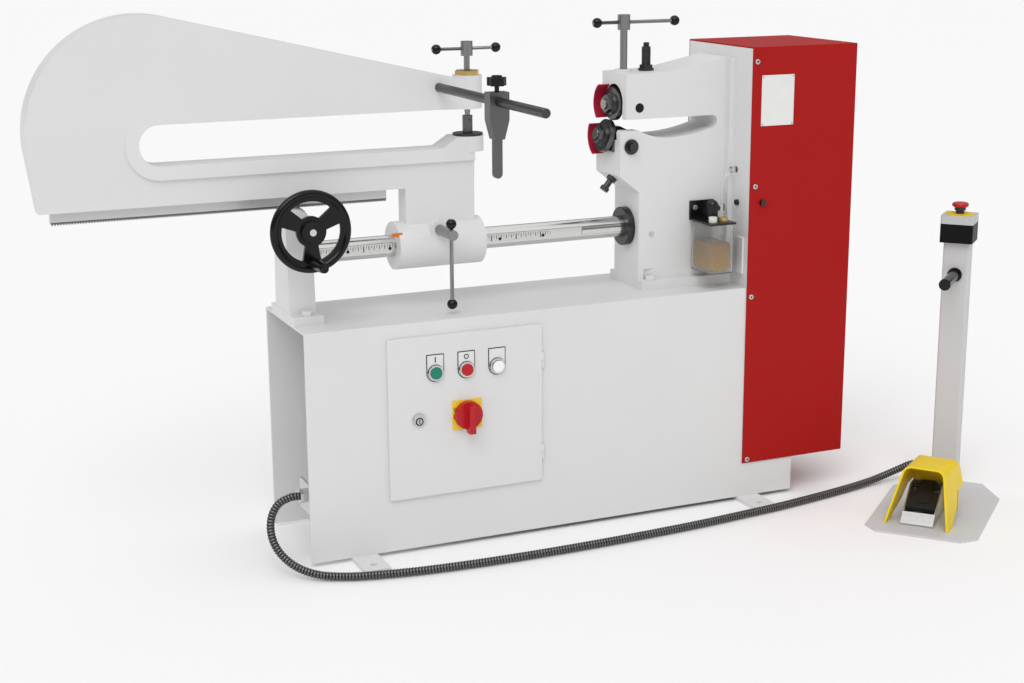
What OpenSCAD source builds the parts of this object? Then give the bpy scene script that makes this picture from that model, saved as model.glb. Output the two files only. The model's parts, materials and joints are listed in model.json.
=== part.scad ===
// Circular shear: motor-driven cutter head and clamping carriage on a sheet cabinet, with a foot switch.
// Origin: centre of the four floor anchor holes, at floor level. +X right, +Y away from the operator, +Z up.

/* [Cabinet] */
// Length of the cabinet
cabinet_length = 1000; // [960:5:1060]
// Depth of the cabinet
cabinet_depth = 236; // [220:2:260]
// Height of the cabinet above its foot bars
cabinet_height = 422; // [400:2:460]
// Sheet thickness of the cabinet
cabinet_sheet = 4; // [2:0.5:5]
// Width of each foot bar
foot_width = 48; // [36:2:70]
// Thickness of each foot bar
foot_thickness = 8; // [5:1:12]
// Length of each foot bar
foot_length = 386; // [370:2:396]
// Anchor hole spacing along the machine
anchor_pitch_x = 800; // [700:5:850]
// Anchor hole spacing across the machine
anchor_pitch_y = 330; // [310:2:340]
// Anchor hole diameter
anchor_bore = 13; // [9:0.5:18]

/* [Control door] */
// Width of the door
door_width = 300; // [280:2:320]
// Height of the door
door_height = 298; // [280:2:320]
// Thickness of the door
door_thickness = 6; // [4:0.5:8]
// Left end of the cabinet to the left edge of the door
door_left = 149; // [130:1:180]
// Bottom of the cabinet to the bottom edge of the door
door_base = 98; // [60:1:110]
// Diameter of the buttons
button_diameter = 22; // [18:0.5:26]
// Travel of the buttons
button_travel = 4; // [2:0.5:5]

/* [Slide bar] */
// Diameter of the slide bar
bar_diameter = 40; // [34:1:44]
// Height of the slide bar above the cabinet
bar_rise = 116; // [112:1:124]
// Depth of the ruled flat
bar_flat = 2; // [1:0.5:4]

/* [Head] */
// Height of the cutter spindle above the cabinet
spindle_rise = 352; // [340:1:380]
// Left end of the cabinet to the left face of the head column
column_place = 691; // [680:1:700]
// Width of the head casting
head_width = 100; // [92:2:110]
// Length of the head column
column_length = 194; // [190:1:210]
// Thickness of the head's base flange
base_thickness = 18; // [12:1:24]
// Diameter of the spindle
spindle_diameter = 25; // [20:1:28]

/* [Cutters] */
// Diameter of each cutter
cutter_diameter = 62.6; // [58:0.2:66]
// Width of each cutter
cutter_width = 10; // [7:0.5:11]
// Slope of the lower cutter's axle
cutter_tilt = 15; // [10:1:18]
// How far the cutters pass each other
cutter_overlap = 0.6; // [0.2:0.1:2]
// Gap between the cutters' flat sides
cutter_gap = 0.3; // [0.2:0.1:1]

/* [Carriage] */
// Throat: clamp axis to the end of the arm's slot
throat = 606; // [580:2:640]
// Left end of the cabinet to the clamp axis
clamp_place = 362; // [350:1:372]
// Radius of the arm's round end
arm_radius = 198; // [190:1:210]
// Thickness of the arm
arm_thickness = 54; // [48:1:60]
// Height of the arm's slot
slot_height = 70; // [60:1:76]
// Radius of the boss that slides on the bar
boss_radius = 44; // [38:1:46]
// Diameter of the clamp screw
clamp_diameter = 11; // [8:0.5:12]
// Rise of the clamp pad
clamp_rise = 20; // [10:1:20]
// Diameter of the stop rod
stop_rod_diameter = 16; // [12:0.5:18]
// Length of the stop rod in front of the arm
stop_rod_length = 455; // [400:5:470]

/* [Rack drive] */
// Module of the rack and pinion
rack_module = 1.5; // [1.5:0.25:1.5]
// Teeth of the pinion
pinion_teeth = 36; // [36:1:36]
// Teeth of the rack
rack_teeth = 126; // [116:1:130]
// Width of the rack
rack_width = 14; // [10:1:16]
// Diameter of the handwheel
wheel_diameter = 145; // [130:1:160]
// Diameter of the pinion shaft
shaft_diameter = 18; // [14:1:20]

/* [Drive] */
// Module of the spindle gears
drive_module = 2; // [2:0.25:2]
// Teeth of the spindle gear
spindle_teeth = 37; // [37:1:37]
// Teeth of the drive gear
drive_teeth = 25; // [25:1:25]
// Sheet thickness of the drive cover
cover_sheet = 3; // [2:0.5:4]
// Length of the drive cover along the machine
cover_length = 231; // [226:1:250]
// Floor to the bottom of the drive cover
cover_base = 76; // [40:1:120]
// Diameter of the motor
motor_diameter = 114; // [100:1:116]

/* [Oil pump] */
// Width of the oil bottle
bottle_width = 52; // [44:1:56]
// Depth of the oil bottle
bottle_depth = 78; // [60:1:84]
// Height of the oil bottle
bottle_height = 94; // [80:1:100]

/* [Pedestal] */
// Height of the pedestal post
post_height = 500; // [460:2:560]
// Width of the pedestal post
post_width = 51; // [46:1:60]
// Depth of the pedestal post
post_depth = 38; // [36:1:46]
// Side of the emergency stop box
stop_box_side = 63; // [60:1:76]
// Height of the emergency stop box
stop_box_height = 53; // [48:1:60]
// Height of the pedal guard
guard_height = 106; // [96:1:120]
// Travel of the treadle in degrees
treadle_travel = 8; // [4:0.5:9]

/* [Conduit] */
// Outside diameter of the conduit
conduit_diameter = 15; // [13:0.5:16]
// Bore of the conduit
conduit_bore = 10; // [8:0.5:11]
// Number of ribs on the conduit
conduit_ribs = 160; // [100:1:180]

/* [Hidden] */
$fn = 64;
fit = 0.02;
run = 0.05;
air = 0.3;
line_y = 10;
left_x = -cabinet_length / 2;
right_x = cabinet_length / 2;
front_y = -cabinet_depth / 2;
back_y = cabinet_depth / 2;
deck_z = foot_thickness + cabinet_height;
bar_z = deck_z + bar_rise;
bar_r = bar_diameter / 2;
spindle_z = deck_z + spindle_rise;
spindle_r = spindle_diameter / 2;
neck_r = spindle_r - 2.5;
column_x = left_x + column_place;
panel_x = column_x + column_length;
head_front = line_y - head_width / 2;
head_back = line_y + head_width / 2;
nose_top = spindle_z + 58;
nose_base = spindle_z - 26;
upper_nose_x = column_x - 29;
lower_nose_x = column_x - 41;
cutter_r = cutter_diameter / 2;
cut_x = column_x - 35;
block_half = 26;
block_top = spindle_z + spindle_r + 7.5;
block_base = spindle_z - spindle_r - 7.5;
slot_top = block_top + 6;
lower_x = cut_x - cutter_gap - cutter_r * sin(cutter_tilt);
lower_z = spindle_z - cutter_r + cutter_overlap - cutter_r * cos(cutter_tilt);
lower_block_floor = -26;
lower_block_length = 52;
washer_r = 20;
feed_x = column_x - 10;
feed_r = 7;
feed_hub_z = spindle_z + 151;
stud_x = column_x + 38;
stud_r = 8.5;
t_bar_r = 3.5;
t_ball_r = 9.5;
clamp_x = left_x + clamp_place;
clamp_r = clamp_diameter / 2;
arm_z = spindle_z - 6;
arm_base = bar_z + 106;
slot_end_x = clamp_x - throat + slot_height / 2;
slot_z = spindle_z - 26;
arm_x = slot_end_x - 22;
arm_front = line_y - arm_thickness / 2;
arm_back = line_y + arm_thickness / 2;
arm_web = 38;
nose_r = arm_thickness / 2;
nose_bottom = spindle_z + 7;
nose_cap = spindle_z + 67;
anvil_r = 28;
anvil_top = spindle_z - 38;
anvil_thick = 4;
anvil_boss_top = anvil_top - anvil_thick - air;
pad_r = 9.3;
pad_base = anvil_top + air;
pad_height = 31.5;
clamp_hub_z = nose_cap + 47;
stop_rod_x = clamp_x - 65;
stop_rod_r = stop_rod_diameter / 2;
stop_rod_z = spindle_z + 49;
stop_rod_socket = 25;
stop_y = -278;
stop_half_x = 17.5;
stop_half_y = 12;
stop_top = stop_rod_z + stop_rod_r + 8;
stop_taper_z = stop_rod_z - stop_rod_r - 22;
finger_top = stop_taper_z - 32;
finger_half = 9;
finger_tip = finger_top - 66;
lock_x = clamp_x - 73;
lock_z = bar_z + 30;
lock_r = 6;
lock_hub_r = 9.5;
lock_pad_front = line_y - sqrt(pow(boss_radius, 2) - pow(lock_z - bar_z - lock_hub_r, 2)) - 1;
lock_hub_length = 66;
lock_bar_y = lock_pad_front - lock_hub_length + 10;
pitch = PI * rack_module;
pinion_pitch_r = rack_module * pinion_teeth / 2;
rack_pitch_z = arm_base - 20.5;
pinion_z = rack_pitch_z - pinion_pitch_r;
post_x = left_x + 25;
post_half = 24;
shaft_r = shaft_diameter / 2;
wheel_r = wheel_diameter / 2;
wheel_y = -98;
crank_r = wheel_r - 20;
drive_r = drive_module * drive_teeth / 2;
gear_r = drive_module * spindle_teeth / 2;
drive_z = spindle_z - drive_r - gear_r;
gear_x = panel_x + 35;
gear_width = 25;
bracket_x = panel_x + 85;
bracket_thick = 20;
swivel_x = bracket_x + bracket_thick / 2;
swivel_r = spindle_r + 9.5;
cover_right = panel_x + cover_length;
cover_top = spindle_z + 106;
panel_sheet = 3;
gearbox_x = bracket_x + bracket_thick + 16;
gearbox_length = 80;
bottle_x = panel_x - 83;
bottle_top = bar_z + 11;
bottle_back = head_front - 4;
lid_thick = 4;
opening_inset = 20;
door_x0 = left_x + door_left;
door_x1 = door_x0 + door_width;
door_z0 = foot_thickness + door_base;
door_z1 = door_z0 + door_height;
door_back = front_y - air;
door_front = door_back - door_thickness;
device_z = door_z1 - 68;
switch_z = door_z1 - 152;
device_x = (door_x0 + door_x1) / 2;
device_pitch = 60;
lock_cam_x = door_x0 + 57;
hinge_r = door_thickness / 2;
hinge_x = door_x1 + hinge_r + air;
hinge_y = door_front + hinge_r;
hinge_half = 15;
button_r = button_diameter / 2;
ped_x = 704;
ped_y = -322;
ped_yaw = -48;
ped_half_u = 105;
ped_half_v = 176;
ped_plate = 4;
post_u = -12;
post_v = 150;
post_top = ped_plate + post_height;
lid_height = 16;
stop_stem_r = 8;
stop_box_top = post_top + stop_box_height;
grip_z = post_top - 64;
grip_length = 106;
treadle_v = -34;
treadle_z = 54;
treadle_slope = 22;
pedal_u = post_u - 1;
conduit_r = conduit_diameter / 2;
gland_y = -86;
gland_z = 127;
gland_length = 10;
post_gland_z = 40;
gland_u = post_u - post_width / 2 - gland_length;

// Route of the conduit, chosen by hand along the floor of the photograph
conduit_route = [
    [left_x - gland_length, gland_y, gland_z],
    [-526, -86, 127],
    [-548, -88, 119],
    [-563, -95, 102],
    [-570, -107, 80],
    [-568, -122, 57],
    [-556, -140, 36],
    [-535, -160, 20],
    [-506, -180, 11],
    [-471, -197, 8.5],
    [-428, -212, 8.5],
    [-350, -227, 8.5],
    [-270, -235, 8.5],
    [-187, -239, 8.5],
    [-86, -240, 8.5],
    [14, -238, 8.5],
    [124, -233, 8.5],
    [234, -225, 8.5],
    [330, -214, 8.5],
    [420, -203, 8.5],
    [500, -189, 8.5],
    [560, -177, 8.5],
    [620, -164, 9],
    [664, -154.5, 10.5],
    [702, -148.5, 15],
    [739, -151.5, 26],
    [758, -161, 36],
    [771, -172.5, 40],
    [ped_x + gland_u * cos(ped_yaw) - post_v * sin(ped_yaw),
        ped_y + gland_u * sin(ped_yaw) + post_v * cos(ped_yaw), post_gland_z]
];

function arc(cx, cy, r, a0, a1, n) = [for (i = [0 : n])
    let (a = a0 + (a1 - a0) * i / n) [cx + r * cos(a), cy + r * sin(a)]];

function round_rect(w, h, r) = concat(
    arc(w / 2 - r, h / 2 - r, r, 0, 90, 6),
    arc(r - w / 2, h / 2 - r, r, 90, 180, 6),
    arc(r - w / 2, r - h / 2, r, 180, 270, 6),
    arc(w / 2 - r, r - h / 2, r, 270, 360, 6));

// Extrudes an outline drawn in X and Z along Y
module slab_y(y0, y1) {
    translate([0, y1, 0])
        rotate([90, 0, 0])
            linear_extrude(y1 - y0)
                children();
}

// Extrudes an outline drawn in Y and Z along X
module slab_x(x0, x1) {
    translate([x0, 0, 0])
        rotate([90, 0, 90])
            linear_extrude(x1 - x0)
                children();
}

module block(x0, x1, y0, y1, z0, z1) {
    translate([x0, y0, z0])
        cube([x1 - x0, y1 - y0, z1 - z0]);
}

module rod_x(x0, x1, r, y, z) {
    translate([x0, y, z])
        rotate([0, 90, 0])
            cylinder(h = x1 - x0, r = r);
}

module rod_y(y0, y1, r, x, z) {
    translate([x, y0, z])
        rotate([-90, 0, 0])
            cylinder(h = y1 - y0, r = r);
}

module rod_z(z0, z1, r, x, y) {
    translate([x, y, z0])
        cylinder(h = z1 - z0, r = r);
}

// Hexagon standing on z0, flats across_flats apart
module hex_z(z0, z1, across_flats, x, y) {
    translate([x, y, z0])
        cylinder(h = z1 - z0, r = across_flats / sqrt(3), $fn = 6);
}

module hex_x(x0, x1, across_flats, y, z) {
    translate([x0, y, z])
        rotate([0, 90, 0])
            cylinder(h = x1 - x0, r = across_flats / sqrt(3), $fn = 6);
}

// Frame of the lower cutter: +X runs into the head along the sloping axle
module at_lower() {
    translate([lower_x, line_y, lower_z])
        rotate([0, cutter_tilt, 0])
            children();
}

// Frame of the pedestal: +X to the operator's right, +Y away from the operator
module at_pedestal() {
    translate([ped_x, ped_y, 0])
        rotate([0, 0, ped_yaw])
            children();
}

// Involute gear outline with its first tooth on +X
function involute(base_r, r) = let (t = sqrt(max(0, r * r / (base_r * base_r) - 1)))
    t * 180 / PI - atan(t);

function flank(m, teeth, backlash, side) = let (
    pr = m * teeth / 2,
    base_r = pr * cos(20),
    half = 90 / teeth - backlash / pr * 90 / PI + involute(base_r, pr),
    r0 = max(base_r, pr - 1.25 * m))
    [for (i = [0 : 4]) let (
        k = side > 0 ? 4 - i : i,
        r = r0 + (pr + m - r0) * k / 4,
        a = side * (half - involute(base_r, r)))
        [r * cos(a), r * sin(a)]];

function gear_points(m, teeth, backlash) = let (root = m * teeth / 2 - 1.25 * m)
    [for (n = [0 : teeth - 1]) let (
        a = 360 * n / teeth,
        tooth = concat(
            [[root * cos(-90 / teeth * 1.35), root * sin(-90 / teeth * 1.35)]],
            flank(m, teeth, backlash, -1),
            flank(m, teeth, backlash, 1),
            [[root * cos(90 / teeth * 1.35), root * sin(90 / teeth * 1.35)]]))
        for (p = tooth) [p.x * cos(a) - p.y * sin(a), p.x * sin(a) + p.y * cos(a)]];

// Gear outline for a shaft along X, drawn in Y and Z, first tooth at the given angle
module gear_along_x(x0, x1, m, teeth, y, z, turn) {
    translate([0, y, z])
        slab_x(x0, x1)
            rotate(turn)
                polygon(gear_points(m, teeth, 0.1));
}

// Bar with a ball on each end, along X
module t_bar(x0, x1, ball_r, bar_radius, y, z) {
    rod_x(x0, x1, bar_radius, y, z);
    for (x = [x0, x1])
        translate([x, y, z])
            sphere(r = ball_r);
}

module cabinet() {
    color("gainsboro")
    difference() {
        block(left_x, right_x, front_y, back_y, foot_thickness, deck_z);
        block(left_x - 1, right_x + 1, front_y + cabinet_sheet, back_y - cabinet_sheet,
            foot_thickness - 1, deck_z - cabinet_sheet);
        block(door_x0 + opening_inset, door_x1 - opening_inset, front_y - 1, front_y + cabinet_sheet + 1,
            door_z0 + opening_inset, door_z1 - opening_inset);
        for (p = base_bolt_places())
            rod_z(deck_z - cabinet_sheet - 1, deck_z + 1, 5 + fit, p.x, p.y);
    }
}

module foot_bars() {
    color("gainsboro")
    for (side = [-1, 1])
        difference() {
            translate([side * anchor_pitch_x / 2, 0, 0])
                linear_extrude(foot_thickness)
                    polygon(round_rect(foot_width, foot_length, 3));
            for (end = [-1, 1])
                rod_z(-1, foot_thickness + 1, anchor_bore / 2, side * anchor_pitch_x / 2, end * anchor_pitch_y / 2);
        }
}

box_wall = 2;
box_depth = 150;
box_front = front_y + cabinet_sheet;

module control_box() {
    color("silver")
    difference() {
        block(door_x0 + 5, door_x1 - 5, box_front, box_front + box_depth, door_z0 + 5, door_z1 - 5);
        block(door_x0 + 5 + box_wall, door_x1 - 5 - box_wall, box_front - 1, box_front + box_depth - box_wall,
            door_z0 + 5 + box_wall, door_z1 - 5 - box_wall);
    }
    control_gear();
}

gear_plate_y = box_front + box_depth - box_wall;

module control_gear() {
    color("lightgray")
    block(door_x0 + 25, door_x1 - 25, gear_plate_y - 3, gear_plate_y, door_z0 + 25, door_z1 - 25);
    color("dimgray")
    for (i = [0 : 3])
        block(device_x - 105 + 54 * i, device_x - 59 + 54 * i, gear_plate_y - 3 - 58, gear_plate_y - 3,
            switch_z - 2, switch_z + 76);
    color("gray")
    for (i = [0 : 9])
        block(device_x - 100 + 20 * i, device_x - 86 + 20 * i, gear_plate_y - 3 - 32, gear_plate_y - 3,
            switch_z - 94, switch_z - 44);
}

hinge_pin_r = hinge_r - 1.2;
hinge_places = [door_z0 + 54, door_z1 - 68];

module hinge_leaves() {
    color("dimgray")
    for (z = hinge_places) {
        rod_z(z - hinge_half, z - 0.2, hinge_r, hinge_x, hinge_y);
        rod_z(z - 1, z + hinge_half, hinge_pin_r, hinge_x, hinge_y);
        block(hinge_x - 2, hinge_x + 2, hinge_y, front_y, z - hinge_half, z - 0.2);
    }
}

post_base_half_y = 70;
post_base_top = deck_z + 16;
post_bolt_y = [line_y - 58, line_y + 58];

module left_post() {
    color("gainsboro")
    difference() {
        union() {
            intersection() {
                slab_x(post_x - post_half, post_x + post_half)
                    polygon([
                        [line_y - 45, deck_z],
                        [line_y + 45, deck_z],
                        [line_y + 35, pinion_z + post_half + 1],
                        [line_y - 35, pinion_z + post_half + 1]
                    ]);
                slab_y(line_y - 60, line_y + 60)
                    polygon(concat(
                        [[post_x - post_half, deck_z], [post_x + post_half, deck_z]],
                        arc(post_x, pinion_z, post_half, 0, 180, 24)));
            }
            block(post_x - 25, post_x + 31, line_y - post_base_half_y, line_y + post_base_half_y,
                deck_z, post_base_top);
        }
        rod_x(post_x - 30, post_x + 30, bar_r + fit, line_y, bar_z);
        block(post_x - 40, post_x + 40, line_y - rack_width / 2 - 2, line_y + rack_width / 2 + 2,
            pinion_z - pinion_pitch_r - rack_module - 2, pinion_z + 60);
        rod_y(line_y - 60, line_y + 60, shaft_r + run, post_x, pinion_z);
        for (y = post_bolt_y)
            rod_z(deck_z - 1, post_base_top + 1, 5 + fit, post_x + 3, y);
    }
}

bar_left = post_x - post_half;
bar_right = column_x + 60;

module slide_bar() {
    color("silver")
    difference() {
        rod_x(bar_left, bar_right, bar_r, line_y, bar_z);
        block(post_x + 35, column_x - 105, line_y - bar_r - 1, line_y - bar_r + bar_flat, bar_z - bar_r, bar_z + bar_r);
    }
}

flange_thick = 14;

module bar_flange() {
    color("gainsboro")
    difference() {
        rod_x(column_x - flange_thick, column_x, bar_r + 17, line_y, bar_z);
        rod_x(column_x - flange_thick - 1, column_x + 1, bar_r + fit, line_y, bar_z);
    }
}

// Underside of the throat dips between the lower nose and the throat's end
throat_floor_x = column_x + 60;
throat_floor_z = spindle_z - 64;
throat_end_x = panel_x - 39;

function throat_floor(x) = throat_floor_z
    + (x < throat_floor_x ? 17 * pow((x - throat_floor_x) / 63, 2) : 22 * pow((x - throat_floor_x) / 121, 2));

function head_outline() = let (
    end_low = throat_floor(throat_end_x),
    end_r = (nose_base - end_low) / 2)
    concat(
        [[column_x, deck_z + 1],
        [column_x, spindle_z - 165],
        [lower_nose_x, spindle_z - 132],
        [lower_nose_x, spindle_z - 51],
        [lower_nose_x + 4, spindle_z - 47]],
        [for (i = [0 : 12]) let (x = column_x - 3 + (throat_end_x - column_x + 3) * i / 12) [x, throat_floor(x)]],
        arc(throat_end_x, end_low + end_r, end_r, -80, 80, 8),
        [[throat_end_x, nose_base],
        [upper_nose_x, nose_base],
        [upper_nose_x, nose_top],
        [column_x + 64, nose_top + 2],
        [panel_x - 18, nose_top + 24],
        [panel_x, nose_top + 24],
        [panel_x, deck_z + 1]]);

head_bolt_x = [column_x + 21, panel_x - 25];
head_bolt_y = [head_front - 9, head_back + 9];
diagonal_place = [column_x - 31, spindle_z - 132 - 33 / 41 * 10];
diagonal_turn = 90 + atan2(-33, 41);

module at_diagonal() {
    translate([diagonal_place.x, line_y, diagonal_place.y])
        rotate([0, -diagonal_turn, 0])
            children();
}

lock_cap_x = column_x - 18;
lock_cap_z = spindle_z - 77;

module head_frame() {
    color("gainsboro")
    difference() {
        union() {
            slab_y(head_front, head_back)
                polygon(head_outline());
            block(column_x, panel_x, head_front - 18, head_back + 18, deck_z, deck_z + base_thickness);
            block(panel_x - 10, panel_x, head_front - 17, head_back + 17, deck_z, nose_top + 24);
            rod_z(nose_top - 4, nose_top + 6, 16, feed_x, line_y);
        }
        rod_x(column_x - 1, bar_right + 1, bar_r + fit, line_y, bar_z);
        rod_x(upper_nose_x - 1, upper_nose_x + 6, cutter_r + 3, line_y, spindle_z + 3);
        block(upper_nose_x - 1, upper_nose_x + 6, line_y - cutter_r - 2, line_y + cutter_r + 2,
            nose_base - 1, spindle_z + 3);
        block(upper_nose_x - 1, column_x + 45, line_y - block_half, line_y + block_half, nose_base - 1, slot_top);
        rod_x(column_x + 40, panel_x + 1, spindle_r + 5.5, line_y, spindle_z + 2);
        rod_z(slot_top - 1, nose_top + 10, feed_r + run, feed_x, line_y);
        rod_z(slot_top - 1, slot_top + 5, 10, feed_x, line_y);
        rod_z(slot_top - 1, nose_top + 10, stud_r + fit, stud_x, line_y);
        at_lower() {
            rod_x(-60, 3, cutter_r + 3, 0, 0);
            block(-60, 3 + lower_block_length, -block_half, block_half, lower_block_floor, cutter_r + 3);
        }
        at_diagonal()
            rod_x(-1, 60, 6 + fit, 0, 0);
        rod_y(head_front - 1, line_y - block_half + 1, 5 + fit, lock_cap_x, lock_cap_z);
        for (x = head_bolt_x, y = head_bolt_y) {
            rod_z(deck_z - 1, deck_z + base_thickness + 1, 5 + fit, x, y);
            rod_z(deck_z + base_thickness, deck_z + base_thickness + 20, 13, x, y);
        }
    }
}

module lower_bearing_block() {
    color("darkgray")
    at_lower()
        difference() {
            block(3, 3 + lower_block_length, -block_half, block_half, lower_block_floor, spindle_r + 1);
            rod_x(-1, 60, neck_r + run, 0, 0);
        }
}

function base_bolt_places() = concat(
    [for (x = head_bolt_x, y = head_bolt_y) [x, y]],
    [for (y = post_bolt_y) [post_x + 3, y]]);

module base_bolts() {
    color("dimgray")
    for (i = [0 : 5]) {
        p = base_bolt_places()[i];
        seat = i < 4 ? deck_z + base_thickness : post_base_top;
        rod_z(deck_z - cabinet_sheet - 4, seat + 1, 5, p.x, p.y);
        hex_z(seat, seat + 8, 17, p.x, p.y);
    }
}

module adjusting_screws() {
    color("dimgray") {
        rod_z(block_top + 5.2, nose_top + 46, stud_r, stud_x, line_y);
        rod_z(nose_top + 45, nose_top + 54, stud_r - 3, stud_x, line_y);
        rod_z(nose_top + 2, nose_top + 6, 15, stud_x, line_y);
        hex_z(nose_top + 5, nose_top + 12, 24, stud_x, line_y);
    }
    color("gray")
    at_diagonal() {
        rod_x(-24, 50, 6, 0, 0);
        hex_x(-8, 0, 19, 0, 0);
        hex_x(-31, -23, 17, 0, 0);
    }
    color("black") {
        rod_y(head_front - 3, head_front, 14.5, lock_cap_x, lock_cap_z);
        rod_y(head_front - 13, head_front - 2, 8, lock_cap_x, lock_cap_z);
        rod_y(head_front - 3, line_y - block_half, 5, lock_cap_x, lock_cap_z);
    }
}

module rear_bracket() {
    color("gray")
    difference() {
        union() {
            block(bracket_x, bracket_x + bracket_thick, line_y - 50, line_y + 50, deck_z, spindle_z + 60);
            block(bracket_x - 40, bracket_x + bracket_thick, line_y - 50, line_y + 50, deck_z, deck_z + 14);
        }
        rod_x(bracket_x - 1, bracket_x + bracket_thick + 1, swivel_r + run, line_y, spindle_z);
        rod_x(bracket_x - 1, bracket_x + bracket_thick + 1, spindle_r + run, line_y, drive_z);
    }
}

motor_x = gearbox_x + 44;
motor_y = line_y - 50;

module gear_motor() {
    color("steelblue")
    difference() {
        union() {
            block(gearbox_x, gearbox_x + gearbox_length, line_y - 85, line_y + 45, drive_z - 60, drive_z + 50);
            block(bracket_x + bracket_thick, gearbox_x + 1, line_y - 40, line_y + 40, drive_z - 56, drive_z - 24);
            rod_z(deck_z + 24, drive_z - 59, motor_diameter / 2, motor_x, motor_y);
        }
        rod_x(gearbox_x - 1, gearbox_x + gearbox_length + 1, spindle_r + run, line_y, drive_z);
    }
}

module back_panel() {
    color("whitesmoke")
    difference() {
        union() {
            block(panel_x, panel_x + panel_sheet, front_y, back_y, deck_z, cover_top - cover_sheet);
            block(panel_x, panel_x + 24, front_y, front_y + panel_sheet, deck_z, cover_top - cover_sheet);
            block(panel_x, panel_x + 24, back_y - panel_sheet, back_y, deck_z, cover_top - cover_sheet);
            block(panel_x, panel_x + 24, front_y, back_y, cover_top - cover_sheet - panel_sheet, cover_top - cover_sheet);
        }
        rod_x(panel_x - 1, panel_x + panel_sheet + 1, spindle_r + 9, line_y, spindle_z + 2);
    }
}

module drive_cover() {
    color("firebrick")
    difference() {
        block(panel_x, cover_right, front_y - cover_sheet, back_y + cover_sheet, cover_base, cover_top);
        block(panel_x - 1, right_x, front_y, back_y, cover_base - 1, cover_top - cover_sheet);
        block(panel_x - 1, cover_right - cover_sheet, front_y, back_y, cover_base + cover_sheet, cover_top - cover_sheet);
    }
}

module oil_pump() {
    color("black") {
        block(bottle_x - 2, bottle_x + bottle_width + 2, bottle_back - bottle_depth - 1, head_front,
            bottle_top, bottle_top + lid_thick);
        block(bottle_x - 2, bottle_x + bottle_width - 2, head_front - 4, head_front,
            bottle_top, bottle_top + 37);
        rod_z(bottle_top + lid_thick - 1, bottle_top + 30, 11, bottle_x + 32, bottle_back - 26);
        translate([bottle_x + 32, bottle_back - 26, bottle_top + 30])
            sphere(r = 11);
        rod_x(bottle_x + 32, tube_x - 5, 5, bottle_back - 26, tube_start_z);
        rod_z(bottle_top + lid_thick - 1, bottle_top + 14, 8, bottle_x + 14, bottle_back - 60);
        rod_z(bottle_top + lid_thick - 1, bottle_top + 12, 9, bottle_x + 36, bottle_back - 60);
    }
    color("silver")
    for (x = [bottle_x + 8, bottle_x + bottle_width - 12])
        rod_y(head_front - 8, head_front - 3, 5, x, bottle_top + 24);
}

module oil_bottle() {
    color("khaki", 0.6)
    difference() {
        translate([bottle_x + bottle_width / 2, bottle_back - bottle_depth / 2, bottle_top - bottle_height])
            linear_extrude(bottle_height)
                polygon(round_rect(bottle_width, bottle_depth, 8));
        translate([bottle_x + bottle_width / 2, bottle_back - bottle_depth / 2, bottle_top - bottle_height + 2])
            linear_extrude(bottle_height)
                polygon(round_rect(bottle_width - 4, bottle_depth - 4, 6));
    }
}

tube_r = 2.2;
tube_bend = 30;
tube_x = bottle_x + 52;
tube_y = bottle_back - 26;
tube_top = bottle_top + 96;
tube_start_z = bottle_top + 24;

module oil_tube() {
    color("whitesmoke") {
        rod_z(tube_start_z + 6, tube_top - tube_bend, tube_r, tube_x, tube_y);
        block(tube_x - 5, tube_x + 5, tube_y - 5, tube_y + 5, tube_start_z - 6, tube_start_z + 7);
        translate([tube_x + tube_bend, tube_y, tube_top - tube_bend])
            rotate([90, 0, 0])
                rotate([0, 0, 90])
                    rotate_extrude(angle = 90)
                        translate([tube_bend, 0])
                            circle(r = tube_r);
        rod_x(tube_x + tube_bend, panel_x, tube_r, tube_y, tube_top);
    }
    color("goldenrod")
    rod_x(panel_x - 12, panel_x, 6, tube_y, tube_top);
}

guard_r = cutter_r + 6.7;
guard_sheet = 3;
guard_depth = 24;

module cutter_guard(x1, z, a0, a1) {
    slab_x(x1 - guard_depth, x1)
        polygon(concat(
            [for (p = arc(0, 0, guard_r, a0, a1, 16)) [line_y + p.x, z + p.y]],
            [for (p = arc(0, 0, guard_r + guard_sheet, a1, a0, 16)) [line_y + p.x, z + p.y]]));
}

module cutter_guards() {
    color("indianred") {
        cutter_guard(upper_nose_x, spindle_z, -45, 60);
        cutter_guard(lower_nose_x, lower_z, -60, 32);
    }
}

module gland_body() {
    difference() {
        union() {
            cylinder(h = gland_length, r = conduit_r + 6, $fn = 6);
            translate([0, 0, -14])
                cylinder(h = 15, r = conduit_r + 1);
        }
        translate([0, 0, -15])
            cylinder(h = gland_length + 16, r = conduit_bore / 2);
    }
}

module conduit_glands() {
    color("dimgray") {
        translate([left_x, gland_y, gland_z])
            rotate([0, -90, 0])
                gland_body();
        at_pedestal()
            translate([post_u - post_width / 2, post_v, post_gland_z])
                rotate([0, -90, 0])
                    difference() {
                        cylinder(h = gland_length, r = conduit_r + 6, $fn = 6);
                        translate([0, 0, 1])
                            cylinder(h = gland_length, r = conduit_bore / 2);
                    }
    }
    color("gray")
    difference() {
        block(left_x, left_x + 4, front_y + cabinet_sheet, gland_y + 26, gland_z - 28, gland_z + 28);
        rod_x(left_x - 1, left_x + 5, conduit_r + 1 + fit, gland_y, gland_z);
    }
}

// Smooth curve through the route's points, and its frame at a place along it
function spline(p, i, t) = let (
    n = len(p) - 1,
    a = p[max(i - 1, 0)],
    b = p[i],
    c = p[min(i + 1, n)],
    d = p[min(i + 2, n)])
    0.5 * (2 * b + (c - a) * t + (2 * a - 5 * b + 4 * c - d) * t * t + (3 * b - a - 3 * c + d) * t * t * t);

function route_point(p, s) = let (i = min(floor(s), len(p) - 2)) spline(p, i, s - i);

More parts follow.
